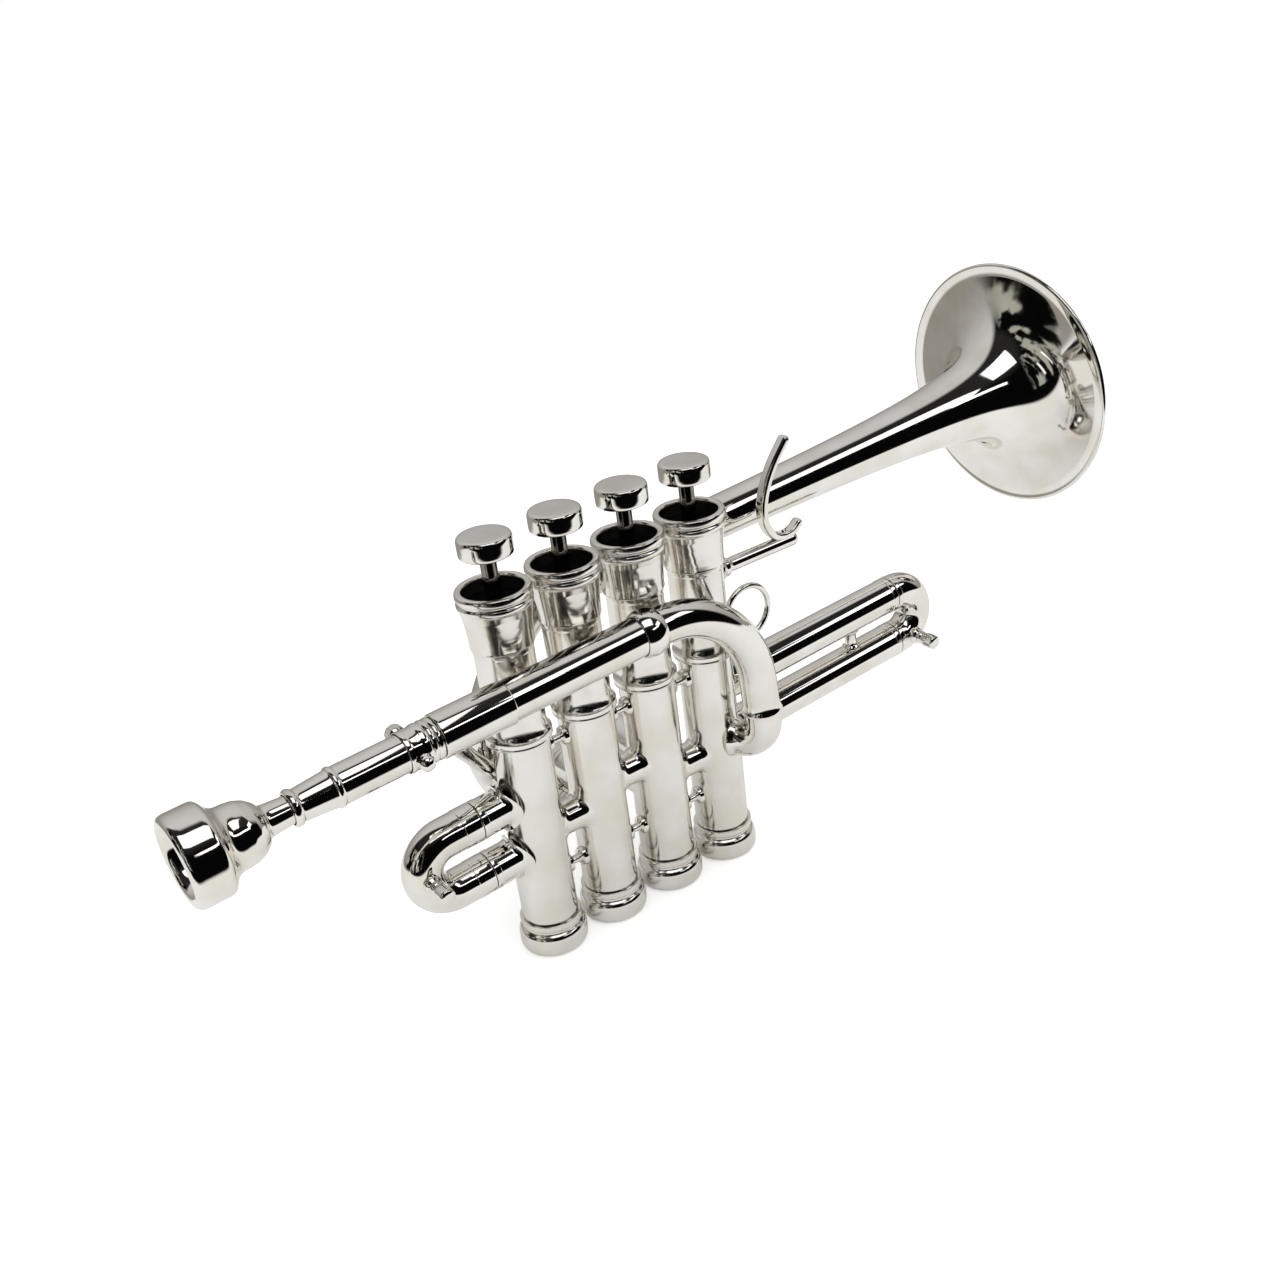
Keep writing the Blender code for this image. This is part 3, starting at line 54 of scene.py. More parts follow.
valveRow = {"spacing": 25.5, "casing": 9.6, "count": 4}
pitch = math.radians(2.63)   # all tubes rise towards the bell by this angle
tubeWay = np.array([math.cos(pitch), 0.0, math.sin(pitch)])
tubeUp = np.array([-math.sin(pitch), 0.0, math.cos(pitch)])
xWay, yWay, zWay = np.eye(3)
leadLine = np.array([0.0, -18.6, 106.6])
bellLine = np.array([0.0, 19.6, 113.1])
firstLine = np.array([0.0, 0.0, 60.0])
fourthLine = np.array([0.0, 0.0, 62.5])


def valvePlace(number, height=0.0):
    return np.array([(number - 1) * valveRow["spacing"], 0.0, height])


def onLine(line, along, drop=0.0):
    return line + along * tubeWay - drop * tubeUp


def eased(corners, radius=0.3, count=4, loop=False):
    # Each corner becomes a quadratic curve whose ends lie a radius away from it,
    # or nearly half-way along a shorter side.
    corners = np.array(corners, float)
    before = np.roll(corners, 1, axis=0)
    after = np.roll(corners, -1, axis=0)
    if not loop:
        before[0], after[-1] = corners[0], corners[-1]
    toBefore, toAfter = before - corners, after - corners
    lengths = [np.linalg.norm(side, axis=1, keepdims=True) for side in (toBefore, toAfter)]
    start = corners + toBefore * np.minimum(radius / np.maximum(lengths[0], 1e-9), 0.48)
    end = corners + toAfter * np.minimum(radius / np.maximum(lengths[1], 1e-9), 0.48)
    t = np.linspace(0.0, 1.0, count)[None, :, None]
    curve = (1 - t) ** 2 * start[:, None] + 2 * t * (1 - t) * corners[:, None] + t ** 2 * end[:, None]
    if loop:
        return curve.reshape(-1, corners.shape[1])
    inside = curve[1:-1].reshape(-1, corners.shape[1])
    return np.concatenate([corners[:1], inside, corners[-1:]])


def filled(outline, spacing):
    # Long sides of an outline get points at even steps, so that a bend stays smooth.
    outline = np.asarray(outline, float)
    steps = np.maximum(np.ceil(np.linalg.norm(np.diff(outline, axis=0), axis=1) / spacing), 1).astype(int)
    marks = np.concatenate([index + np.arange(count) / count for index, count in enumerate(steps)])
    marks = np.append(marks, len(outline) - 1)
    whole = np.arange(len(outline))
    return np.stack([np.interp(marks, whole, column) for column in outline.T], axis=1)


def turnedGrid(outline, origin, axis, side, steps=96):
    # A point of radius r and height h lies at origin + h axis + r (cos t side + sin t across).
    outline = np.asarray(outline, float)
    turn = np.linspace(0.0, 2.0 * np.pi, steps, endpoint=False)[None, :, None]
    ring = np.cos(turn) * side + np.sin(turn) * np.cross(axis, side)
    return origin + outline[:, 1, None, None] * axis + outline[:, 0, None, None] * ring


def frames(path, first):
    # Tangents by central differences, and a side vector that is carried on from ring to ring
    # by taking its part along each next tangent away.
    tangent = np.gradient(path, axis=0)
    tangent /= np.linalg.norm(tangent, axis=1, keepdims=True)
    side = np.empty_like(path)
    current = np.array(first, float)
    for index, way in enumerate(tangent):
        current = current - way * (current @ way)
        current = current / np.linalg.norm(current)
        side[index] = current
    return side, np.cross(tangent, side)


def pathAt(path, distance):
    # Points on a polyline by the distance along it.
    reach = np.append(0.0, np.cumsum(np.linalg.norm(np.diff(path, axis=0), axis=1)))
    return np.stack([np.interp(distance, reach, column) for column in path.T], axis=1)


def sweptGrid(outline, path, first, steps=56):
    # A ring of radius r stands square to the path at distance d for each (r, d) of the outline.
    # The frames are worked out once along the path, so that a wall's two sides share them.
    outline = np.asarray(outline, float)
    places, back = np.unique(np.round(outline[:, 1], 6), return_inverse=True)
    centre = pathAt(path, places)
    side, across = frames(centre, first)
    turn = np.linspace(0.0, 2.0 * np.pi, steps, endpoint=False)[None, :, None]
    ring = np.cos(turn) * side[back][:, None] + np.sin(turn) * across[back][:, None]
    return centre[back][:, None] + outline[:, 0, None, None] * ring


def bend(centre, firstArm, secondArm, radius, count=40):
    # A quarter of a circle from one arm's end to the other's.
    turn = np.linspace(0.0, np.pi / 2.0, count)[:, None]
    return centre + radius * (np.cos(turn) * firstArm + np.sin(turn) * secondArm)


def pathLength(path):
    return float(np.linalg.norm(np.diff(path, axis=0), axis=1).sum())


# ---- meshes ----

def gridFaces(points, closeRows, closeColumns):
    # Neighbours on the grid join into quads, and a row or column that closes joins its ends.
    rows, columns = points.shape[:2]
    row = np.arange(rows if closeRows else rows - 1)[:, None]
    column = np.arange(columns if closeColumns else columns - 1)[None, :]
    nextRow, nextColumn = (row + 1) % rows, (column + 1) % columns
    corners = (row * columns + column, row * columns + nextColumn,
               nextRow * columns + nextColumn, nextRow * columns + column)
    return np.stack(np.broadcast_arrays(*corners), axis=-1).reshape(-1, 4)


def makePiece(name, grids, body, nodes, material):
    # Joins (points, closeRows, closeColumns) grids into one mesh that stands for the CAD nodes.
    points, faces, count = [], [], 0
    for grid, closeRows, closeColumns in grids:
        faces.append(gridFaces(grid, closeRows, closeColumns) + count)
        points.append(grid.reshape(-1, 3))
        count += len(points[-1])
    points, faces = np.concatenate(points) * mm, np.concatenate(faces)
    mesh = bpy.data.meshes.new(name)
    mesh.vertices.add(count)
    mesh.vertices.foreach_set("co", points.ravel())
    mesh.loops.add(faces.size)
    mesh.loops.foreach_set("vertex_index", faces.ravel())
    mesh.polygons.add(len(faces))
    mesh.polygons.foreach_set("loop_start", np.arange(0, faces.size, 4))
    mesh.update(calc_edges=True)
    welded = bmesh.new()
    welded.from_mesh(mesh)
    bmesh.ops.remove_doubles(welded, verts=welded.verts, dist=0.002 * mm)
    bmesh.ops.dissolve_degenerate(welded, dist=0.001 * mm, edges=welded.edges)
    bmesh.ops.recalc_face_normals(welded, faces=welded.faces)
    welded.to_mesh(mesh)
    welded.free()
    mesh.shade_smooth()
    mesh.set_sharp_from_angle(angle=math.radians(48.0))
    mesh.materials.append(material)
    piece = bpy.data.objects.new(name, mesh)
    bpy.context.scene.collection.objects.link(piece)
    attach(piece, body)
    if nodes:
        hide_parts(*nodes)
    return piece


# ---- materials ----

def linear(code):
    # The colour of an sRGB hex value as Blender's linear numbers.
    parts = [int(code[index:index + 2], 16) / 255.0 for index in (1, 3, 5)]
    return tuple(part / 12.92 if part <= 0.04045 else ((part + 0.055) / 1.055) ** 2.4 for part in parts) + (1.0,)


def addNode(tree, kind, inputs=(), **settings):
    # One node with its settings; an input is a value, or an output to link from.
    node = tree.nodes.new(kind)
    for key, value in settings.items():
        setattr(node, key, value)
    for socket, value in dict(inputs).items():
        if isinstance(value, bpy.types.NodeSocket):
            tree.links.new(value, node.inputs[socket])
        else:
            node.inputs[socket].default_value = value
    return node


def ramp(tree, factor, stops):
    node = addNode(tree, "ShaderNodeValToRGB", {"Fac": factor})
    marks = node.color_ramp.elements
    while len(marks) < len(stops):
        marks.new(0.5)
    for mark, (place, colour) in zip(marks, stops):
        mark.position = place
        mark.color = colour if len(colour) == 4 else (*colour, 1.0)
    return node.outputs["Color"]


def startMaterial(name):
    material = bpy.data.materials.new(name)
    material.use_nodes = True
    tree = material.node_tree
    shader = tree.nodes["Principled BSDF"]
    place = addNode(tree, "ShaderNodeTexCoord").outputs["Object"]
    return material, tree, shader, place


def noise(tree, place, size, detail=2.0, stretch=(1.0, 1.0, 1.0)):
    # Cloudy noise whose features are about size millimetres across, longer where stretch is small.
    moved = addNode(tree, "ShaderNodeMapping", {"Vector": place, "Scale": stretch}).outputs["Vector"]
    return addNode(tree, "ShaderNodeTexNoise", {"Vector": moved, "Scale": 1.0 / (size * mm),
                                                "Detail": detail}).outputs["Fac"]


def silverPlate(name, light, dark, smooth, rough, stretch=(1.0, 1.0, 1.0), lines=0.006):
    # Silver plate over brass. It is near white and mirror-like, a trace warmer where it begins to tarnish,
    # with faint buffing lines about 0.3 mm apart; they are drawn coarser than real ones to show at all.
    material, tree, shader, place = startMaterial(name)
    tarnish = noise(tree, place, 14.0, 3.0)
    tree.links.new(ramp(tree, tarnish, [(0.38, linear(dark)), (0.62, linear(light))]), shader.inputs["Base Color"])
    haze = noise(tree, place, 5.0, 2.0)
    spread = addNode(tree, "ShaderNodeMapRange", {"Value": haze, "From Min": 0.3, "From Max": 0.7,
                                                  "To Min": smooth, "To Max": rough})
    tree.links.new(spread.outputs["Result"], shader.inputs["Roughness"])
    shader.inputs["Metallic"].default_value = 1.0
    buffing = noise(tree, place, 0.3, 2.0, stretch)
    bump = addNode(tree, "ShaderNodeBump", {"Height": buffing, "Strength": lines, "Distance": 0.02 * mm})
    tree.links.new(bump.outputs["Normal"], shader.inputs["Normal"])
    return material


def lappedSteel(name, colour, roughness):
    # Drawn or lapped metal with fine rings around the valves' upright axis, about 0.5 mm apart.
    material, tree, shader, place = startMaterial(name)
    rings = noise(tree, place, 0.5, 2.0, (0.05, 0.05, 1.0))
    tint = [value * 0.8 for value in linear(colour)[:3]]
    tree.links.new(ramp(tree, rings, [(0.35, tint), (0.65, linear(colour))]), shader.inputs["Base Color"])
    shader.inputs["Metallic"].default_value = 1.0
    shader.inputs["Roughness"].default_value = roughness
    bump = addNode(tree, "ShaderNodeBump", {"Height": rings, "Strength": 0.15, "Distance": 0.02 * mm})
    tree.links.new(bump.outputs["Normal"], shader.inputs["Normal"])
    return material


def woolFelt(name, colour, fleck):
    # Pressed wool felt, dull and dark, with matted fibres about 0.25 mm wide that catch a little light.
    material, tree, shader, place = startMaterial(name)
    fibres = noise(tree, place, 0.25, 4.0)
    tree.links.new(ramp(tree, fibres, [(0.35, linear(colour)), (0.75, linear(fleck))]), shader.inputs["Base Color"])
    shader.inputs["Roughness"].default_value = 0.95
    shader.inputs["Specular IOR Level"].default_value = 0.1
    bump = addNode(tree, "ShaderNodeBump", {"Height": fibres, "Strength": 0.8, "Distance": 0.15 * mm})
    tree.links.new(bump.outputs["Normal"], shader.inputs["Normal"])
    return material


# The stem tone is the pistons' monel made darker: painted shade for the shadow that the finger buttons cast on the
# stems.
finishes = {
    "light": "#F6F4F0", "dark": "#EDE9E1", "smooth": 0.04, "rough": 0.07,
    "casingSmooth": 0.13, "casingRough": 0.20, "capSmooth": 0.10, "capRough": 0.17,
    "monel": "#C9C5BC", "stem": "#8F8B84", "steel": "#A3A5A8", "felt": "#020202", "fleck": "#0B0B0B",
}
tubeSilver = silverPlate("buffedSilverPlateTubes", finishes["light"], finishes["dark"], finishes["smooth"],
                         finishes["rough"], (0.08, 1.0, 1.0))
casingSilver = silverPlate("lappedSilverPlateCasings", finishes["light"], finishes["dark"],
                           finishes["casingSmooth"], finishes["casingRough"], (0.06, 0.06, 1.0), 0.015)
capSilver = silverPlate("turnedSilverPlateCaps", finishes["light"], finishes["dark"], finishes["capSmooth"],
                        finishes["capRough"], (0.1, 0.1, 1.0))
bellSilver = silverPlate("spunSilverPlateBell", finishes["light"], finishes["dark"], finishes["smooth"],
                         finishes["rough"], (1.0, 0.1, 0.1))
monel = lappedSteel("lappedMonelPistons", finishes["monel"], 0.25)
# The stems' material takes that darker stem tone, so it carries painted shade under the buttons.
stemMonelPaintedShade = lappedSteel("polishedMonelStemsPaintedShade", finishes["stem"], 0.08)
springSteel = lappedSteel("drawnSteelSprings", finishes["steel"], 0.3)
blackFelt = woolFelt("blackWoolFelt", finishes["felt"], finishes["fleck"])
print("materials made")


# ---- valves ----

casing = {
    "outer": [(9.75, 115.0), (9.75, 113.9), (9.6, 113.2), (9.6, 87.8), (9.62, 87.2), (9.68, 86.6), (9.79, 86.0),
              (9.97, 85.4), (10.18, 84.9), (10.42, 84.5), (10.68, 84.22), (10.88, 84.08), (10.95, 83.85),
              (10.95, 82.55), (10.8, 82.4), (10.8, 82.3), (10.95, 81.85), (10.9, 81.5), (9.8, 81.35),
              (9.6, 81.1), (9.6, 12.6)],
    "inner": [(8.9, 12.6), (8.9, 17.9), (8.3, 17.9), (8.3, 109.7), (8.9, 109.7), (8.9, 115.0)],
}
topCap = {
    "outline": [(11.0, 134.6), (11.85, 134.35), (12.15, 133.6), (12.15, 132.4), (11.8, 132.0), (11.6, 131.5),
                (11.8, 131.0), (12.15, 130.6), (12.1, 129.4), (11.6, 128.7), (11.1, 126.4), (10.72, 123.4),
                (10.45, 120.2), (10.32, 117.6), (10.3, 115.9), (10.35, 115.6), (10.25, 115.3), (8.6, 115.3),
                (8.6, 110.0), (7.5, 110.0), (7.5, 121.0), (2.8, 121.0), (2.8, 126.2), (9.7, 126.2),
                (9.75, 133.9), (10.1, 134.45)],
}
bottomCap = {
    "outline": [(0.0, 2.2), (7.5, 2.2), (7.5, 17.6), (8.6, 17.6), (8.6, 12.3), (10.45, 12.3), (10.6, 12.1),
                (10.6, 10.3), (10.4, 9.95), (10.0, 9.7), (9.95, 9.0), (10.15, 8.6), (10.95, 8.0), (11.5, 7.1),
                (11.7, 5.8), (11.7, 3.4), (11.6, 1.9), (11.1, 0.8), (10.2, 0.15), (9.2, 0.0), (0.0, 0.0)],
}
button = {
    "outline": [(0.0, 151.9), (5.0, 151.9), (7.2, 151.85), (8.05, 151.62), (8.5, 151.15), (8.68, 150.3),
                (8.68, 147.2), (8.62, 145.9), (8.45, 145.45), (8.0, 145.25), (4.2, 145.25), (3.55, 144.9),
                (3.5, 144.2), (3.4, 143.8), (2.8, 143.8), (2.8, 147.4), (0.0, 147.4)],
}
stem = {"outline": [(2.58, 147.0), (2.58, 121.0), (2.1, 121.0), (2.1, 147.0)]}
felt = {"outline": [(9.5, 129.3), (9.5, 126.6), (3.1, 126.6), (3.1, 129.3)], "tuft": 0.05}
spring = {"radius": 5.6, "wire": 0.45, "bottom": 2.95, "top": 38.25, "curls": 8.5, "endCurls": 1.0, "keep": 0.61}
sideStub = {"radius": 5.7, "bore": 5.4, "height": 52.0, "drop": 16.0, "ends": {2: 18.5, 3: 30.0}, "fillet": 1.6}


def sidewaysTube(number, height, end):
    # A stub that leaves the casing along +Y. Its root follows the casing's round wall, where its radius
    # grows as a quarter circle for the solder's fillet, and its open end shows the wall's thickness.
    share = np.linspace(0.0, 1.0, 16)[:, None]
    turn = np.linspace(0.0, 2.0 * np.pi, 56, endpoint=False)[None, :]
    size = sideStub["radius"] + sideStub["fillet"] * (1.0 - np.sqrt(1.0 - (1.0 - share) ** 2))
    wide = size * np.cos(turn)
    root = np.sqrt(valveRow["casing"] ** 2 - wide ** 2) - 0.1
    reach = root + sideStub["fillet"] * share
    centre = valvePlace(number, height)
    fillet = centre + np.stack([wide, reach, size * np.sin(turn)], axis=-1)
    outline = eased([(sideStub["radius"], 9.0), (sideStub["radius"], end - 2.0), (sideStub["radius"] + 0.3, end - 1.8),
                     (sideStub["radius"] + 0.3, end), (sideStub["bore"], end), (sideStub["bore"], 9.0)], 0.15)
    return [(fillet, False, True), (turnedGrid(outline, centre, yWay, xWay, 56), True, True)]


def helix(number):
    # The wire's middle line climbs at an even pitch between two flat end curls.
    count = 24
    total = spring["curls"] + 2.0 * spring["endCurls"]
    turns = np.linspace(0.0, total, int(total * count))
    climb = np.clip(turns - spring["endCurls"], 0.0, spring["curls"]) / spring["curls"]
    flat = 2.2 * spring["wire"]
    early = np.minimum(turns, spring["endCurls"]) * flat
    late = np.maximum(turns - total + spring["endCurls"], 0.0) * flat
    middle = spring["top"] - spring["bottom"] - 2.0 * spring["endCurls"] * flat
    height = spring["bottom"] + early + middle * climb + late
    angle = 2.0 * np.pi * turns
    return valvePlace(number) + np.stack([spring["radius"] * np.cos(angle), spring["radius"] * np.sin(angle), height],
                                         axis=1)


for number in range(1, valveRow["count"] + 1):
    place, body = valvePlace(number), f"valve_{number}"
    wall = np.concatenate([eased(casing["outer"], 0.12), casing["inner"]])
    grids = [(turnedGrid(wall, place, zWay, xWay), True, True)]
    if number in sideStub["ends"]:
        for drop in (0.0, sideStub["drop"]):
            grids += sidewaysTube(number, sideStub["height"] - drop, sideStub["ends"][number])
    makePiece(f"valveCasing{number}", grids, "instrument", [f"casing_{number}"], casingSilver)
    grids = [(turnedGrid(eased(topCap["outline"], 0.3, loop=True), place, zWay, xWay), True, True)]
    makePiece(f"topCap{number}", grids, "instrument", [f"top_cap_{number}"], capSilver)
    grids = [(turnedGrid(eased(bottomCap["outline"], 0.35), place, zWay, xWay), False, True)]
    makePiece(f"bottomCap{number}", grids, "instrument", [f"bottom_cap_{number}"], capSilver)
    grids = [(turnedGrid(eased(button["outline"], 0.6, 6), place, zWay, xWay), False, True)]
    makePiece(f"fingerButton{number}", grids, body, [f"finger_button_{number}"], tubeSilver)
    # Each stem gets the darker monel, which paints the shade under its button.
    grids = [(turnedGrid(stem["outline"], place, zWay, xWay, 48), True, True)]
    makePiece(f"pistonStem{number}", grids, body, [], stemMonelPaintedShade)
    disc = turnedGrid(filled(eased(felt["outline"] + felt["outline"][:1], 0.7), 0.4), place, zWay, xWay)
    wave = np.sin(disc[..., 0] * 5.1 + 2.0 * np.sin(disc[..., 1] * 3.7)) * np.cos(disc[..., 1] * 4.3 + disc[..., 0])
    disc[..., 2] += felt["tuft"] * wave * (disc[..., 2] > 128.0)   # tufts stand on the upper side only
    makePiece(f"capFelt{number}", [(disc, True, True)], "instrument", [f"felt_{number}"], blackFelt)
    line = helix(number)
    wire = np.stack([np.full(400, spring["wire"]), np.linspace(0.0, pathLength(line), 400)], axis=1)
    wire = np.concatenate([[(0.0, 0.0)], wire, [(0.0, wire[-1, 1])]])
    coil = makePiece(f"pistonSpring{number}", [(sweptGrid(wire, line, zWay, 10), False, True)], "instrument",
                     [f"spring_{number}"], springSteel)
    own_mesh(coil)
    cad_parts[f"piston_{number}"].data.materials.clear()
    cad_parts[f"piston_{number}"].data.materials.append(monel)
print("valves made")


# ---- tubes and braces between the casings ----

rowTubes = {
    "knuckle": {"heights": (44.5, 51.0, 43.0), "radius": 5.85, "flare": 1.7, "fillet": 0.5, "bore": 4.8},
    "upperBrace": {"height": 74.5}, "lowerBrace": {"height": 26.5},
    "brace": {"end": 3.1, "waist": 1.45, "flange": 0.42},
}


def betweenCasings(number, height, sizes, inner=None, steps=64):
    # A ring of radius r(s) for s from -1 to 1, whose point at y stands at s times the half gap
    # between the two round casings at that y, so that both ends lie on the casings' walls.
    middle = (valvePlace(number, height) + valvePlace(number + 1, height)) / 2.0
    share, radius = sizes[:, 0, None], sizes[:, 1, None]
    turn = np.linspace(0.0, 2.0 * np.pi, steps, endpoint=False)[None, :]
    y, z = radius * np.cos(turn), radius * np.sin(turn)
    half = valveRow["spacing"] / 2.0 - np.sqrt((valveRow["casing"] - 0.05) ** 2 - y ** 2)
    grid = middle + np.stack([share * half, y, z], axis=-1)
    if inner is None:
        return [(grid, False, True)]
    y, z = inner * np.cos(turn), inner * np.sin(turn)
    half = valveRow["spacing"] / 2.0 - np.sqrt((valveRow["casing"] - 0.05) ** 2 - y ** 2)
    share = np.linspace(1.0, -1.0, 9)[:, None]
    bore = middle + np.stack([share * half, y + 0.0 * share, z + 0.0 * share], axis=-1)
    return [(np.concatenate([grid, bore]), True, True)]


def knuckleSizes():
    # The radius is even in the middle and grows as a quarter circle towards each casing.
    tube = rowTubes["knuckle"]
    share = np.linspace(-1.0, 1.0, 49)
    near = np.clip((np.abs(share) - tube["fillet"]) / (1.0 - tube["fillet"]), 0.0, 1.0)
    return np.stack([share, tube["radius"] + tube["flare"] * (1.0 - np.sqrt(1.0 - near ** 2 * 0.999))], axis=1)


def spoolSizes():
    # A flange against each casing, a cove and a thin waist; the ends close at the middle line.
    brace = rowTubes["brace"]
    flange = 1.0 - brace["flange"]
    half = eased([(0.0, brace["waist"]), (flange - 0.14, brace["waist"]), (flange, brace["end"]),
                  (0.99, brace["end"] + 0.35), (0.995, 0.0)], 0.12)
    return np.concatenate([half[::-1] * (-1.0, 1.0), half[1:]])


for number in range(1, valveRow["count"]):
    pair = f"{number}_{number + 1}"
    height = rowTubes["knuckle"]["heights"][number - 1]
    makePiece(f"knuckle{pair}", betweenCasings(number, height, knuckleSizes(), rowTubes["knuckle"]["bore"]),
              "instrument", [f"knuckle_{pair}"], tubeSilver)
    for level in ("upper", "lower"):
        grids = betweenCasings(number, rowTubes[f"{level}Brace"]["height"], spoolSizes())
        makePiece(f"{level}Brace{pair}", grids, "instrument", [f"{level}_brace_{pair}"], tubeSilver)
print("row tubes made")


# ---- mouthpiece, leadpipe and crook ----

mouthpiece = {
    "start": -117.0,
    "outline": [(3.1, 55.0), (3.75, 55.0), (4.3, 33.0), (4.75, 27.0), (5.0, 25.7), (6.6, 24.6), (8.2, 22.7),
                (9.3, 20.0), (9.65, 17.4), (9.7, 15.2), (10.1, 13.9), (11.6, 12.4), (13.3, 11.3), (13.95, 10.5),
                (14.1, 9.5), (14.1, 2.6), (13.85, 1.2), (13.0, 0.3), (11.9, 0.0), (10.9, 0.2), (10.1, 0.8),
                (9.55, 1.9), (9.2, 3.6), (8.5, 7.0), (7.0, 10.6), (4.9, 13.9), (2.8, 16.6), (1.85, 18.6),
                (1.85, 22.0)],
}
leadpipe = {
    "start": -84.0,
    "outline": [(6.0, 94.0), (6.0, 16.2), (6.0, 15.1), (6.3, 14.8), (6.45, 14.1), (6.3, 13.5), (5.85, 13.2),
                (5.75, 12.6), (5.4, 8.0), (5.05, 3.4), (5.1, 2.7), (5.5, 2.3), (5.75, 1.6), (5.7, 0.8),
                (5.35, 0.15), (5.0, 0.0), (4.66, 0.0), (4.05, 22.5), (5.4, 25.0), (5.4, 94.0)],
}
sleeve = {"outline": [(6.7, 41.3), (6.7, -12.0), (7.0, -12.05), (7.2, -12.3), (7.2, -36.2), (7.1, -36.55),
                      (6.9, -36.7), (6.3, -36.7), (6.3, 41.3)]}
ferrule = {"place": 41.5, "radius": 8.1, "half": 4.0, "bore": 6.85}
clamp = {"start": -48.0, "screwPlace": -44.0, "tilt": 16.0,
         "outline": [(6.6, 11.0), (6.78, 10.7), (6.85, 10.2), (6.78, 9.7), (6.45, 9.35), (6.45, 9.15), (6.78, 8.8),
                     (6.85, 8.3), (6.78, 7.8), (6.45, 7.45), (6.45, 7.25), (6.78, 6.9), (6.85, 6.2), (6.78, 5.4),
                     (6.55, 4.8), (6.5, 3.8), (6.5, 1.9), (6.62, 1.5), (6.6, 0.4), (6.45, 0.0), (6.3, 0.0), (6.3, 11.0)],
         "boss": [(1.55, 6.1), (2.35, 6.1), (2.35, 7.4), (2.55, 7.7), (2.5, 8.4), (1.55, 8.4)],
         "nearBoss": [(0.0, 6.1), (2.5, 6.1), (2.4, 7.2), (2.55, 7.6), (2.5, 8.3), (2.0, 9.2), (1.2, 9.8), (0.0, 10.0)],
         "screw": [(0.0, 13.3), (2.2, 13.3), (2.9, 12.8), (3.0, 12.3), (3.0, 10.1), (2.8, 9.7), (2.1, 8.75),
                   (1.2, 8.7), (1.2, 6.3), (0.0, 6.3)]}
crook = {"start": 41.65, "bendPlace": 45.8, "bendRadius": 37.0, "pull": 0.5523, "leg": 15.8, "seamDrop": 11.8,
         "port": 48.3, "radius": 6.5, "bore": 5.7, "elbow": 9.4}


def legBend(line, shape, way, number):
    # A cubic curve leaves the line, whose two handles are the same share of its reach, and comes down
    # square to it. Below stand a straight leg, a quarter bend and a short run into the casing.
    legPlace = shape["bendPlace"] + way * shape["bendRadius"]
    foot = onLine(line, legPlace)
    depth = (foot[2] - shape["port"]) / tubeUp[2]
    foot = foot - tubeUp * depth
    depth = depth - shape["elbow"] - shape["leg"]
    start, end = onLine(line, shape["bendPlace"]), onLine(line, legPlace, depth)
    reach = way * shape["bendRadius"] * shape["pull"] * tubeWay
    t = np.linspace(0.0, 1.0, 90)[:, None]
    curve = ((1 - t) ** 3 * start + 3 * (1 - t) ** 2 * t * (start + reach)
             + 3 * (1 - t) * t ** 2 * (end + tubeUp * depth * shape["pull"]) + t ** 3 * end)
    axis = valvePlace(number, shape["port"])
    inward = (axis - foot) / np.linalg.norm(axis - foot)
    elbow = bend(foot + (tubeUp + inward) * shape["elbow"], -inward, -tubeUp, shape["elbow"])
    wall = axis - inward * (valveRow["casing"] - 0.9)
    return curve, elbow, np.concatenate([curve, [end - tubeUp], elbow, [wall]])


def hollowTube(outer, bore, path, first, steps=56, spacing=1.6):
    # The outer side runs out along the path and the bore runs back, so the wall closes at both ends.
    outer = filled(outer, spacing)
    inner = np.stack([np.full(len(outer), bore), outer[::-1, 1]], axis=1)
    return [(sweptGrid(np.concatenate([outer, inner]), path, first, steps), True, True)]


def ribbed(grid, ribs, depth, low, high, axis, origin):
    # Ribs along a knob: points between two heights move in and out with the cosine of their turn.
    reach = (grid - origin) @ axis
    middle = origin + reach[..., None] * axis
    turn = np.linspace(0.0, 2.0 * np.pi, grid.shape[1], endpoint=False)[None, :]
    share = 1.0 - depth * (0.5 + 0.5 * np.cos(ribs * turn)) * ((reach > low) & (reach < high))
    return middle + (grid - middle) * share[..., None]


def lineTurned(name, outline, along, body, nodes, line=leadLine, loop=True, ease=0.25, steps=80, material=None):
    grid = turnedGrid(eased(outline, ease, loop=loop), onLine(line, along), tubeWay, yWay, steps)
    return makePiece(name, [(grid, True, True)], body, nodes, material or tubeSilver)


lineTurned("mouthpiece1", mouthpiece["outline"], mouthpiece["start"], "mouthpiece_body", ["mouthpiece"],
           ease=0.6, steps=112, material=bellSilver)
lineTurned("leadpipe1", leadpipe["outline"], leadpipe["start"], "tuning_pipe", ["leadpipe"])
lineTurned("leadpipeSleeve", sleeve["outline"], 0.0, "instrument", ["leadpipe_sleeve"], ease=0.15)
reach = np.linspace(ferrule["half"], -ferrule["half"], 25)
ball = np.stack([np.sqrt(ferrule["radius"] ** 2 - reach ** 2), reach], axis=1)   # a circle around the pipe's axis
ball = np.concatenate([ball, [(ferrule["bore"], -ferrule["half"]), (ferrule["bore"], ferrule["half"])]])
lineTurned("ballFerrule", ball, ferrule["place"], "instrument", ["ball_ferrule"], ease=0.05)
collar = turnedGrid(eased(clamp["outline"], 0.2, loop=True), onLine(leadLine, clamp["start"]), tubeWay, yWay, 80)
screwCentre = onLine(leadLine, clamp["screwPlace"])
slope = math.radians(clamp["tilt"])
nearWay = -math.cos(slope) * yWay - math.sin(slope) * tubeUp
boss = turnedGrid(eased(clamp["boss"], 0.15, loop=True), screwCentre, yWay, tubeWay, 48)
nearBoss = turnedGrid(eased(clamp["nearBoss"], 0.3), screwCentre, nearWay, tubeWay, 48)
makePiece("leadpipeClamp", [(collar, True, True), (boss, True, True), (nearBoss, False, True)], "instrument",
          ["leadpipe_clamp"], tubeSilver)
head = turnedGrid(filled(eased(clamp["screw"], 0.3), 0.6), screwCentre, yWay, tubeWay, 120)
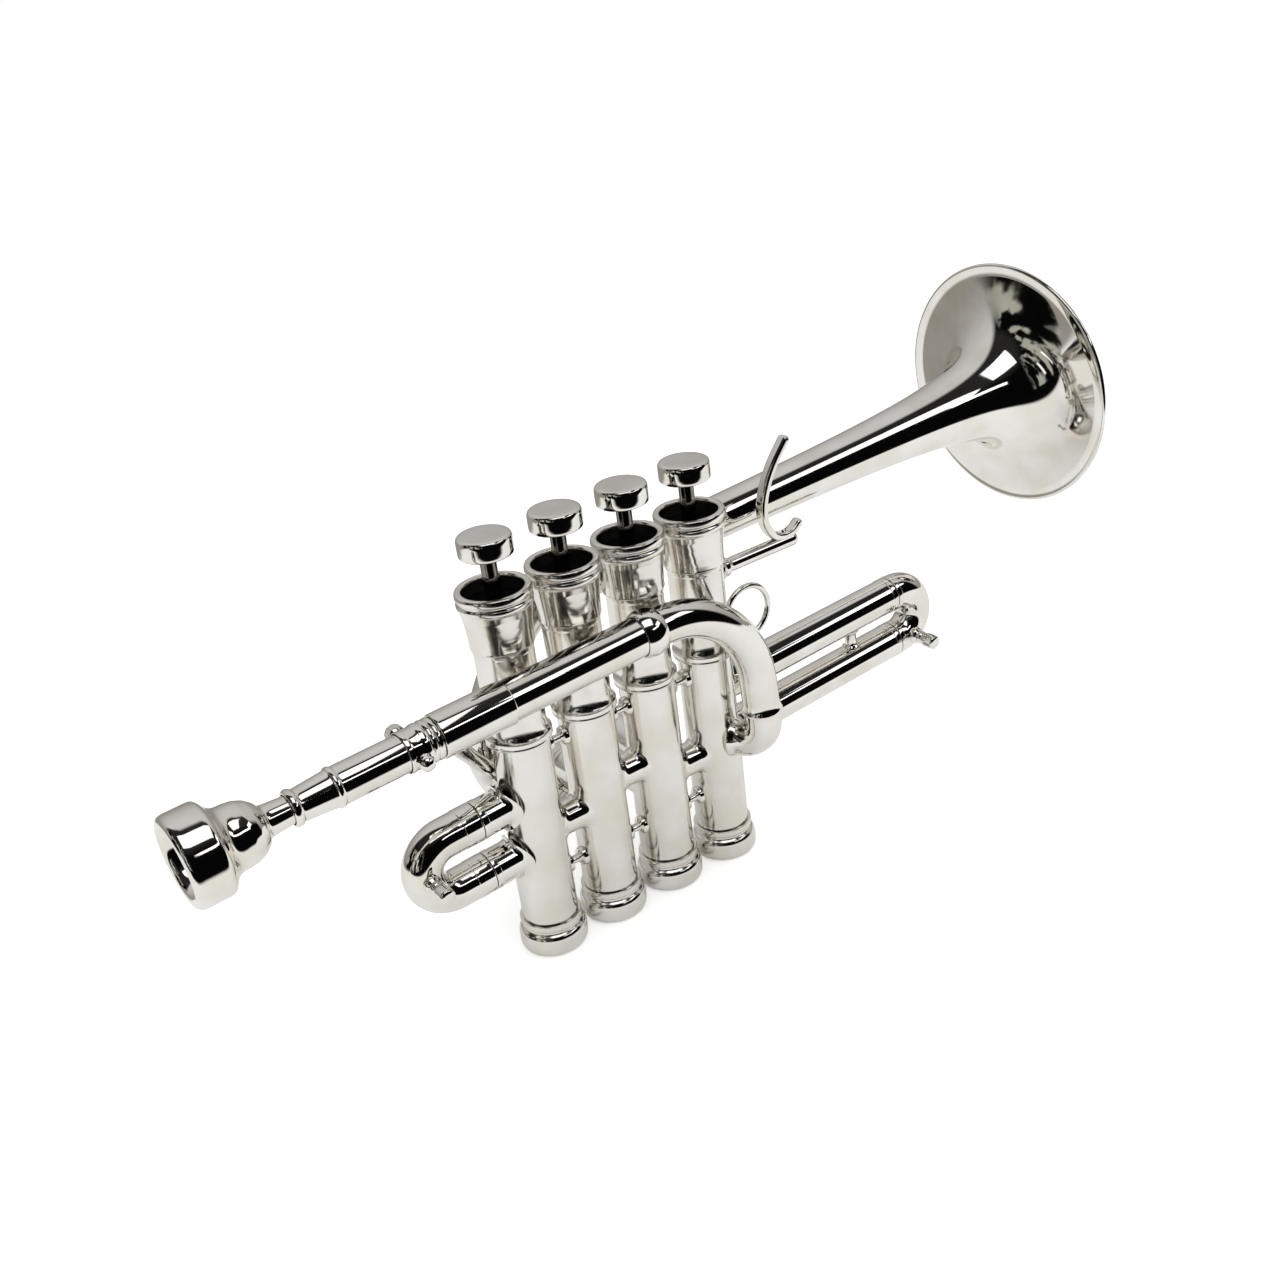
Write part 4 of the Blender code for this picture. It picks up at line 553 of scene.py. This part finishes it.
head = ribbed(head, 20, 0.07, 9.9, 12.6, yWay, screwCentre)
makePiece("clampScrew", [(head, False, True)], "clamp_screw_body", ["clamp_screw"], tubeSilver)

curve, elbow, legPath = legBend(leadLine, crook, 1.0, 4)
crookPath = np.concatenate([[onLine(leadLine, crook["start"])], legPath])
seam = crook["bendPlace"] - crook["start"] + pathLength(curve) + crook["seamDrop"]
size, end = crook["radius"], pathLength(crookPath)
crookOuter = eased([(size, 0.0), (size, seam - 4.0), (size + 0.06, seam - 3.2), (size + 0.17, seam - 2.5),
                    (size + 0.36, seam - 1.8), (size + 0.6, seam - 1.2), (size + 0.78, seam - 0.8),
                    (size + 0.85, seam - 0.4), (size + 0.8, seam - 0.05),
                    (size + 0.05, seam), (size, seam + 0.4), (size, end - 2.2), (size + 0.9, end - 0.4),
                    (size + 1.0, end)], 0.25)
makePiece("leadpipeCrook", hollowTube(crookOuter, crook["bore"], crookPath, yWay, 72), "instrument",
          ["leadpipe_crook"], tubeSilver)
print("leadpipe made")


# ---- bell and its tail ----

bell = {"start": 40.0, "mouth": 256.2, "radius": 48.0, "throat": 4.0, "flare": 4.2, "power": 0.68, "wall": 0.55,
        "bead": 0.95}
tail = {"bendPlace": 31.5, "bendRadius": 37.0, "pull": 0.38, "leg": 1.1, "port": 58.0, "radius": 6.3, "bore": 5.5,
        "elbow": 9.4, "bracePlace": -35.0}


def bellRadius(distance):
    # Horn law: above the throat's radius, the flare falls as a power of the distance behind the mouth.
    share = (bell["flare"] / (distance + bell["flare"])) ** bell["power"]
    return bell["throat"] + (bell["radius"] - bell["throat"]) * share


length = bell["mouth"] - bell["start"]
distance = bell["flare"] * ((length / bell["flare"] + 1.0) ** np.linspace(0.0, 1.0, 120) - 1.0)
outside = np.stack([bellRadius(distance), bell["mouth"] - distance], axis=1)
way = np.gradient(outside, axis=0)
way /= np.linalg.norm(way, axis=1, keepdims=True)
inside = outside + np.stack([way[:, 1], -way[:, 0]], axis=1) * bell["wall"]
roll = np.linspace(-0.15 * np.pi, 1.1 * np.pi, 24)   # the rolled wire at the rim, seen in section
rim = np.stack([bell["radius"] + 0.35 + bell["bead"] * np.sin(roll),
                bell["mouth"] - 0.35 + bell["bead"] * np.cos(roll)], axis=1)
outline = np.concatenate([inside[:2:-1], rim, outside[3:]])
makePiece("bell1", [(turnedGrid(outline, bellLine, tubeWay, yWay, 180), True, True)], "instrument", ["bell"],
          bellSilver)

top = bell["start"] - 0.3
curve, elbow, legPath = legBend(bellLine, tail, -1.0, 1)
tailPath = np.concatenate([[onLine(bellLine, top)], legPath])
stemRadius = float(bellRadius(length))
size, end = tail["radius"], pathLength(tailPath)
tailOuter = eased([(stemRadius + 0.5, 0.0), (stemRadius + 0.55, 0.4), (stemRadius + 0.4, 1.2),
                   (stemRadius + 0.5, 3.4), (stemRadius + 0.3, 3.9), (size, 4.3), (size, end - 2.2),
                   (size + 0.8, end - 0.4), (size + 0.9, end)], 0.3)
makePiece("bellTail", hollowTube(tailOuter, tail["bore"], tailPath, yWay, 72), "instrument", ["bell_tail"],
          tubeSilver)


def strut(name, start, end, outline, nodes, first=xWay, steps=40):
    # A turned strut between two points; the outline gives (radius, share of its length).
    reach = np.linalg.norm(end - start)
    outline = eased(np.array(outline) * (1.0, reach), 0.5)
    axis = (end - start) / reach
    side = np.cross(axis, first)
    grid = turnedGrid(outline, start, axis, side / np.linalg.norm(side), steps)
    return makePiece(name, [(grid, False, True)], "instrument", nodes, tubeSilver)


braceStart, braceEnd = onLine(leadLine, tail["bracePlace"]), elbow[len(elbow) // 2]
gap = braceEnd - braceStart
gap /= np.linalg.norm(gap)
strut("tailBrace", braceStart + gap * 6.6, braceEnd - gap * 5.6,
      [(0.0, 0.0), (4.6, 0.0), (4.1, 0.05), (2.9, 0.12), (2.6, 0.5), (2.9, 0.86), (4.3, 0.95), (5.0, 1.0), (0.0, 1.0)],
      ["tail_brace"])
flanged = [(0.0, 0.0), (2.9, 0.0), (2.9, 0.12), (1.7, 0.3), (1.5, 0.5), (1.7, 0.7), (2.9, 0.88), (2.9, 1.0), (0.0, 1.0)]
for number, height, line, tube, name in ((3, 106.5, bellLine, None, "bell_brace_3"), (4, 106.5, bellLine, None, "bell_brace_4"),
                                        (1, 105.0, leadLine, 6.7, "leadpipe_brace")):
    # A short brace stands between a casing's axis and the tube's, and shows between their walls.
    place = valvePlace(number, height)
    size = tube or float(bellRadius(bell["mouth"] - place[0]))
    gap = onLine(line, place[0] / math.cos(pitch)) - place
    reach = np.linalg.norm(gap)
    gap /= reach
    rest = 9.3 / math.hypot(gap[0], gap[1])
    strut(name.replace("_", " ").title().replace(" ", ""), place + gap * rest, place + gap * (reach - size * 0.8), flanged,
          [name])
print("bell made")


# ---- valve slides ----

slideTube = {"radius": 6.7, "bore": 5.4, "ring": 0.15, "fillet": 1.5}
bowTube = {"leg": 5.1, "legBore": 4.6, "ferrule": 0.15}
knob = {"outline": [(0.0, 5.2), (2.9, 5.2), (3.2, 6.4), (3.1, 7.6), (2.5, 8.3), (2.0, 8.9), (2.45, 9.3), (2.6, 9.8),
                    (2.4, 10.4), (2.0, 10.8), (1.95, 11.5), (2.4, 11.9), (2.7, 12.2), (2.75, 16.2), (2.4, 16.9),
                    (1.5, 17.2), (0.0, 17.25)],
        "ribs": 14, "ribStart": 12.5, "ribEnd": 16.3}
slides = {
    "first": {"line": firstLine, "drop": 20.1, "stubEnd": -21.2, "ferrule": 6.0, "centre": -33.0, "angle": -6.0},
    "fourth": {"line": fourthLine, "drop": 19.5, "tubeEnd": 165.3, "leg": 62.0, "centre": 168.6, "brace": 145.0,
               "angle": 66.0},
    "side": {2: {"stub": 18.5, "centre": 22.0}, 3: {"stub": 30.0, "centre": 42.0}},
}


def casingTube(number, origin, way, end):
    # An outer slide tube with a soldered fillet at the casing and a ring at its open end.
    centre = valvePlace(number)
    start = (centre - origin) @ way
    size, bore = slideTube["radius"], slideTube["bore"]
    outline = eased([(size, start + 8.0), (size, end - 2.3), (size + slideTube["ring"], end - 2.2),
                     (size + slideTube["ring"], end - 0.15), (size, end), (bore, end), (bore, start + 8.0)],
                    0.08, loop=True)
    share = np.linspace(0.0, 1.0, 16)[:, None]
    turn = np.linspace(0.0, 2.0 * np.pi, 64, endpoint=False)[None, :]
    radius = size + slideTube["fillet"] * (1.0 - np.sqrt(1.0 - (1.0 - share) ** 2))
    wide = radius * np.cos(turn)
    reach = start + np.sqrt(valveRow["casing"] ** 2 - wide ** 2) - 0.1 + slideTube["fillet"] * share
    up = np.cross(way, yWay)
    fillet = (origin + reach[..., None] * way + wide[..., None] * yWay
              + (radius * np.sin(turn))[..., None] * up)
    return [(fillet, False, True), (turnedGrid(outline, origin, way, yWay, 64), True, True)]


def bowPiece(name, origin, way, down, tip, seat, ferruleEnd, centre, drop, body, nodes, size, extra=()):
    # Two legs, a ferrule on each, and a half circle between them, swept as one tube.
    half = drop / 2.0
    middle = origin + centre * way + half * down
    path = np.concatenate([[origin + tip * way], bend(middle, -down, way, half, 60), bend(middle, way, down, half, 60)[1:],
                           [origin + tip * way + drop * down]])
    total = pathLength(path)
    collar = size + bowTube["ferrule"]
    start, stop = seat - tip, ferruleEnd - tip
    leg = [(bowTube["leg"], 0.0), (bowTube["leg"], start - 0.05), (collar - 0.1, start), (collar, start + 0.15),
           (collar, stop - 0.1), (size, stop + 0.05)]
    mirrored = [(radius, total - reach) for radius, reach in leg[::-1]]
    grids = hollowTube(eased(leg + mirrored, 0.08), bowTube["legBore"], path, np.cross(way, down), 64)
    return makePiece(name, grids + list(extra), body, nodes, tubeSilver)


def knobGrid(origin, way, down, centre, drop, angle, depth):
    # A pull knob, ribbed where its ribs have a depth, that stands on the bow's curve towards the leadpipe's side.
    below = math.radians(angle)
    half = drop / 2.0
    foot = origin + (centre + half * math.cos(below)) * way + half * (1.0 + math.sin(below)) * down
    grid = turnedGrid(filled(eased(knob["outline"], 0.3), 0.5), foot, -yWay, way, 84)
    return [(ribbed(grid, knob["ribs"], depth, knob["ribStart"], knob["ribEnd"], -yWay, foot), False, True)]


first = slides["first"]
backward = -tubeWay
for level, drop in (("upper", 0.0), ("lower", first["drop"])):
    origin = onLine(first["line"], 0.0, drop)
    makePiece(f"firstSlideStub_{level}", casingTube(1, origin, backward, -first["stubEnd"]), "instrument",
              [f"slide_1_stub_{level}"], tubeSilver)
seat = -first["stubEnd"] + 0.3
origin = onLine(first["line"], 0.0)
bowPiece("firstSlide", origin, backward, -tubeUp, 11.4, seat, seat + first["ferrule"], -first["centre"],
         first["drop"], "slide_1_body", ["slide_1"], slideTube["radius"],
         knobGrid(origin, backward, -tubeUp, -first["centre"], first["drop"], first["angle"], 0.0))

fourth = slides["fourth"]
grids = []
for drop in (0.0, fourth["drop"]):
    grids += casingTube(4, onLine(fourth["line"], 0.0, drop), tubeWay, fourth["tubeEnd"])
gap = fourth["drop"] / 2.0 - slideTube["radius"]
outline = eased([(0.0, gap + 1.0), (3.6, gap + 1.0), (3.5, gap + 0.1), (2.4, gap - 1.0), (2.15, 0.0),
                 (2.4, 1.0 - gap), (3.5, -gap - 0.1), (3.6, -gap - 1.0), (0.0, -gap - 1.0)], 0.4)
grids.append((turnedGrid(outline, onLine(fourth["line"], fourth["brace"], fourth["drop"] / 2.0), tubeUp, yWay, 48),
              False, True))
makePiece("fourthSlideTubes", grids, "instrument", ["slide_4_tubes"], tubeSilver)
seat = fourth["tubeEnd"] + 0.3
origin = onLine(fourth["line"], 0.0)
bowPiece("fourthSlide", origin, tubeWay, -tubeUp, seat - fourth["leg"], seat, seat + 2.0, fourth["centre"],
         fourth["drop"], "slide_4_body", ["slide_4"], slideTube["radius"],
         knobGrid(origin, tubeWay, -tubeUp, fourth["centre"], fourth["drop"], fourth["angle"], 0.16))

for number, sizes in slides["side"].items():
    seat = sizes["stub"] + 0.3
    bowPiece(f"sideSlide{number}", valvePlace(number, sideStub["height"]), yWay, -zWay, 11.4, seat, seat + 2.0,
             sizes["centre"], sideStub["drop"], f"slide_{number}_body", [f"slide_{number}"], sideStub["radius"])
print("slides made")


# ---- finger hook and ring ----

hook = {
    "rodHeight": 109.0, "rodEnd": 122.0, "rodRadius": 2.6, "thickness": 2.8, "width": 4.2,
    "line": [(124.2, 115.2), (120.5, 112.4), (116.0, 111.6), (111.6, 113.2), (108.6, 117.4), (107.6, 122.5),
             (108.8, 129.5), (113.0, 138.0), (120.5, 147.2)],
}
ring = {"place": 97.2, "height": 89.04, "radius": 9.4, "wire": 1.1}


def smoothLine(corners, count):
    # A Catmull-Rom curve through the corners, by the same cubic on every stretch.
    corners = np.array(corners, float)
    ends = np.concatenate([[2 * corners[0] - corners[1]], corners, [2 * corners[-1] - corners[-2]]])
    t = np.linspace(0.0, 1.0, count, endpoint=False)[None, :, None]
    a, b, c, d = (ends[index:len(ends) - 3 + index, None] for index in range(4))
    curve = 0.5 * (2 * b + (c - a) * t + (2 * a - 5 * b + 4 * c - d) * t ** 2 + (3 * b - a - 3 * c + d) * t ** 3)
    return np.concatenate([curve.reshape(-1, corners.shape[1]), corners[-1:]])


def strapGrid(line, thickness, width, steps=48):
    # A rounded oblong section, |x|^4 + |y|^4 = 1 stretched to the strap's size, carried along the line.
    # Its size shrinks as a quarter circle at both ends.
    path = np.stack([line[:, 0], np.zeros(len(line)), line[:, 1]], axis=1)
    total = pathLength(path)
    round_ = 0.5 * thickness
    inset = round_ * (1.0 - np.cos(np.linspace(0.0, np.pi / 2.0, 8)))
    places = np.concatenate([inset, np.linspace(round_, total - round_, 110)[1:-1], total - inset[::-1]])
    size = np.sqrt(1.0 - np.clip(1.0 - np.minimum(places, total - places) / round_, 0.0, 1.0) ** 2)
    centre = pathAt(path, places)
    side, across = frames(centre, yWay)
    turn = np.linspace(0.0, 2.0 * np.pi, steps, endpoint=False)[None, :]
    reach = (np.abs(np.cos(turn)) ** 4 + np.abs(np.sin(turn)) ** 4) ** -0.25
    wide = (width / 2.0 - round_ + round_ * size[:, None]) * reach * np.cos(turn) * (size[:, None] > 0)
    thick = round_ * size[:, None] * reach * np.sin(turn)
    return centre[:, None] + wide[..., None] * side[:, None] + thick[..., None] * across[:, None]


start = valvePlace(4, hook["rodHeight"])
size, end = hook["rodRadius"], hook["rodEnd"] - start[0]
rod = eased([(0.0, 9.0), (4.4, 9.2), (4.0, 10.4), (3.6, 11.0), (3.5, 13.0), (size, 14.2), (size, end - 2.0),
             (size * 0.8, end - 0.7), (size * 0.4, end), (0.0, end)], 0.6)
makePiece("fingerHook", [(turnedGrid(rod, start, xWay, yWay, 48), False, True),
                         (strapGrid(smoothLine(hook["line"], 10), hook["thickness"], hook["width"]), False, True)],
          "instrument", ["finger_hook"], tubeSilver)

turn = np.linspace(0.0, 2.0 * np.pi, 96, endpoint=False)[:, None, None]
around = np.linspace(0.0, 2.0 * np.pi, 24, endpoint=False)[None, :, None]
outward = np.cos(turn) * xWay + np.sin(turn) * zWay
hoop = (np.array([ring["place"], 0.0, ring["height"]]) + ring["radius"] * outward
        + ring["wire"] * (np.cos(around) * outward + np.sin(around) * yWay))   # a torus: a circle round a circle
place = valvePlace(4, ring["height"])
reach = ring["place"] - ring["radius"] - place[0]
foot = eased([(0.0, 9.2), (2.4, 9.3), (1.9, 9.9), (1.4, 10.4), (1.4, reach - 0.4), (1.2, reach + 0.5), (0.0, reach + 0.6)], 0.3)
makePiece("fingerRing", [(hoop, True, True), (turnedGrid(foot, place, xWay, yWay, 32), False, True)], "instrument",
          ["finger_ring"], tubeSilver)
print("hook and ring made")


# ---- studio ----

studio = {
    "floorSize": 3.0, "paper": "#EDEDEB", "cameraGlow": 0.42, "paperReach": (0.19, 0.27),
    "paperBack": (0.26, 0.34), "things": "#A9AAA0", "thingScale": 6.0, "far": 0.60, "farLow": 0.31, "black": 0.002, "dim": 0.02, "fill": 0.90,
    "lamps": [{"turn": 19.0, "rise": 33.0, "away": 1.6, "wide": 0.90, "tall": 0.14, "power": 0.80},
              {"turn": 46.0, "rise": 38.5, "away": 1.6, "wide": 0.65, "tall": 0.38, "power": 1.1},
              {"turn": -13.0, "rise": 69.0, "away": 1.6, "wide": 1.15, "tall": 0.90, "power": 4.0},
              {"turn": -66.0, "rise": 12.0, "away": 1.6, "wide": 0.10, "tall": 0.45, "power": 0.14},
              {"turn": -84.0, "rise": 9.0, "away": 1.6, "wide": 0.06, "tall": 0.40, "power": 0.06}],
}

world = bpy.data.worlds.new("studioRoom")
bpy.context.scene.world = world
world.use_nodes = True
world.cycles.sampling_method = "NONE"
tree = world.node_tree
tree.nodes.clear()
way = addNode(tree, "ShaderNodeTexCoord").outputs["Generated"]
split = addNode(tree, "ShaderNodeSeparateXYZ", {"Vector": way})
# The room is grey behind the instrument and dark on the side that the photographer stands.
toFar = addNode(tree, "ShaderNodeVectorMath", {0: way, 1: (0.55, 0.83, 0.0)}, operation="DOT_PRODUCT").outputs["Value"]
farShare = addNode(tree, "ShaderNodeMapRange", {"Value": toFar, "From Min": 0.12, "From Max": 0.26},
                   interpolation_type="SMOOTHSTEP").outputs["Result"]
# On its left stand things that the bell and the bows show as upright grey patches.
upright = addNode(tree, "ShaderNodeVectorMath", {0: way, 1: (1.0, 1.0, 0.35)}, operation="MULTIPLY").outputs["Vector"]
things = addNode(tree, "ShaderNodeTexNoise", {"Vector": upright, "Scale": studio["thingScale"], "Detail": 3.0})
patches = addNode(tree, "ShaderNodeMapRange", {"Value": things.outputs["Fac"], "From Min": 0.49, "From Max": 0.56})
toLeft = addNode(tree, "ShaderNodeMapRange", {"Value": split.outputs["X"], "From Min": -0.60, "From Max": -0.78})
thingShare = addNode(tree, "ShaderNodeMath", {0: patches.outputs["Result"], 1: toLeft.outputs["Result"]},
                     operation="MULTIPLY").outputs["Value"]
height = addNode(tree, "ShaderNodeMapRange", {"Value": split.outputs["Z"], "From Min": -1.0, "From Max": 1.0}).outputs["Result"]
low, high = studio["farLow"], studio["far"]
farColour = ramp(tree, height, [(0.5, (low, low * 0.96, low * 0.88)), (0.7, (high * 0.78, high * 0.77, high * 0.76)),
                                (0.9, (high, high * 0.99, high * 0.98))])
black, dim = studio["black"], studio["dim"]
nearColour = ramp(tree, height, [(0.5, (black,) * 3), (0.80, (black,) * 3), (0.88, (dim,) * 3), (1.0, (dim,) * 3)])
room = addNode(tree, "ShaderNodeMix", {"Factor": farShare}, data_type="RGBA")
tree.links.new(nearColour, room.inputs[6])
tree.links.new(farColour, room.inputs[7])
rays = addNode(tree, "ShaderNodeLightPath")
glossy = addNode(tree, "ShaderNodeMix", {"Factor": rays.outputs["Is Glossy Ray"]}, data_type="RGBA")
glossy.inputs[6].default_value = (studio["fill"],) * 3 + (1.0,)
withThings = addNode(tree, "ShaderNodeMix", {"Factor": thingShare}, data_type="RGBA")
tree.links.new(room.outputs[2], withThings.inputs[6])
withThings.inputs[7].default_value = linear(studio["things"])
tree.links.new(withThings.outputs[2], glossy.inputs[7])
shown = addNode(tree, "ShaderNodeMix", {"Factor": rays.outputs["Is Camera Ray"]}, data_type="RGBA")
tree.links.new(glossy.outputs[2], shown.inputs[6])
shown.inputs[7].default_value = (1.0, 1.0, 1.0, 1.0)
background = addNode(tree, "ShaderNodeBackground", {"Color": shown.outputs[2]})
tree.links.new(background.outputs["Background"],
               addNode(tree, "ShaderNodeOutputWorld").inputs["Surface"])

# White paper that keeps the shadow. The camera sees it lit up to white, and in the silver it ends
# some way towards the photographer.
paper = bpy.data.materials.new("whiteStudioPaper")
paper.use_nodes = True
tree = paper.node_tree
tree.nodes.clear()
place = addNode(tree, "ShaderNodeTexCoord").outputs["Object"]
nearer = addNode(tree, "ShaderNodeVectorMath", {0: place, 1: (-0.25, -0.97, 0.0)}, operation="DOT_PRODUCT").outputs["Value"]
ends = addNode(tree, "ShaderNodeMapRange", {"Value": nearer, "From Min": studio["paperReach"][0],
                                            "From Max": studio["paperReach"][1]}, interpolation_type="SMOOTHSTEP")
behind = addNode(tree, "ShaderNodeMapRange", {"Value": addNode(tree, "ShaderNodeSeparateXYZ", {"Vector": place}).outputs["Y"],
                                              "From Min": studio["paperBack"][0], "From Max": studio["paperBack"][1]})
rays = addNode(tree, "ShaderNodeLightPath")
past = addNode(tree, "ShaderNodeMath", {0: ends.outputs["Result"], 1: behind.outputs["Result"]}, operation="MAXIMUM")
hidden = addNode(tree, "ShaderNodeMath", {0: past.outputs["Value"], 1: rays.outputs["Is Glossy Ray"]}, operation="MULTIPLY")
grain = noise(tree, place, 1.2, 3.0)
tone = ramp(tree, grain, [(0.3, linear("#E9E9E7")), (0.7, linear(studio["paper"]))])
surface = addNode(tree, "ShaderNodeBsdfDiffuse", {"Color": tone})
glow = addNode(tree, "ShaderNodeEmission", {"Color": (1.0, 1.0, 1.0, 1.0)})
lift = addNode(tree, "ShaderNodeMath", {0: rays.outputs["Is Camera Ray"], 1: studio["cameraGlow"]}, operation="MULTIPLY")
tree.links.new(lift.outputs["Value"], glow.inputs["Strength"])
both = addNode(tree, "ShaderNodeAddShader", {0: surface.outputs["BSDF"], 1: glow.outputs["Emission"]})
low = studio["farLow"]
roomTone = ramp(tree, behind.outputs["Result"], [(0.0, (studio["black"],) * 3), (1.0, (low, low * 0.96, low * 0.88))])
darkRoom = addNode(tree, "ShaderNodeEmission", {"Color": roomTone})
seen = addNode(tree, "ShaderNodeMixShader", {0: hidden.outputs["Value"], 1: both.outputs["Shader"],
                                             2: darkRoom.outputs["Emission"]})
tree.links.new(seen.outputs["Shader"], addNode(tree, "ShaderNodeOutputMaterial").inputs["Surface"])
half = studio["floorSize"] / 2.0
floorMesh = bpy.data.meshes.new("floor")
floorMesh.from_pydata([(-half, -half, 0.0), (half, -half, 0.0), (half, half, 0.0), (-half, half, 0.0)], [], [(0, 1, 2, 3)])
floorMesh.materials.append(paper)
floor = bpy.data.objects.new("floor", floorMesh)
bpy.context.scene.collection.objects.link(floor)

middle = np.array([0.07, 0.0, 0.08])
for index, lamp in enumerate(studio["lamps"]):
    turn, rise = math.radians(lamp["turn"]), math.radians(lamp["rise"])
    back = np.array([math.sin(turn) * math.cos(rise), -math.cos(turn) * math.cos(rise), math.sin(rise)])
    right = np.array([math.cos(turn), math.sin(turn), 0.0])
    light = bpy.data.lights.new(f"softbox{index + 1}", "AREA")
    light.shape = "RECTANGLE"
    light.size, light.size_y, light.energy = lamp["wide"], lamp["tall"], lamp["power"]
    holder = bpy.data.objects.new(light.name, light)
    bpy.context.scene.collection.objects.link(holder)
    holder.matrix_world = Matrix([[*row, value] for row, value in
                                  zip(np.stack([right, np.cross(back, right), back], axis=1), middle + back * lamp["away"])]
                                 + [[0.0, 0.0, 0.0, 1.0]])

# The camera stands where the photograph was taken from, by a fit to the caps, casings, tubes and bell.
view = {
    "place": (-0.18772, -0.362611, 0.312259),
    "right": (0.7867494, -0.6077404, -0.1080600), "up": (0.3567558, 0.3048228, 0.8830676),
    "back": (-0.5037367, -0.7333039, 0.4566341),
    "frame": 1280.0, "focal": 1451.819, "centre": (668.045, 653.749), "sensor": 36.0,
}
camera = bpy.data.cameras.new("camera")
camera.sensor_width = view["sensor"]
camera.lens = view["focal"] / view["frame"] * view["sensor"]
camera.shift_x = (view["frame"] / 2.0 - view["centre"][0]) / view["frame"]
camera.shift_y = (view["centre"][1] - view["frame"] / 2.0) / view["frame"]
camera.clip_start = 0.01
eye = bpy.data.objects.new("camera", camera)
bpy.context.scene.collection.objects.link(eye)
eye.matrix_world = Matrix([[view["right"][i], view["up"][i], view["back"][i], view["place"][i]] for i in range(3)]
                          + [[0.0, 0.0, 0.0, 1.0]])
bpy.context.scene.camera = eye
bpy.context.scene.view_settings.view_transform = "Standard"
print("studio made")
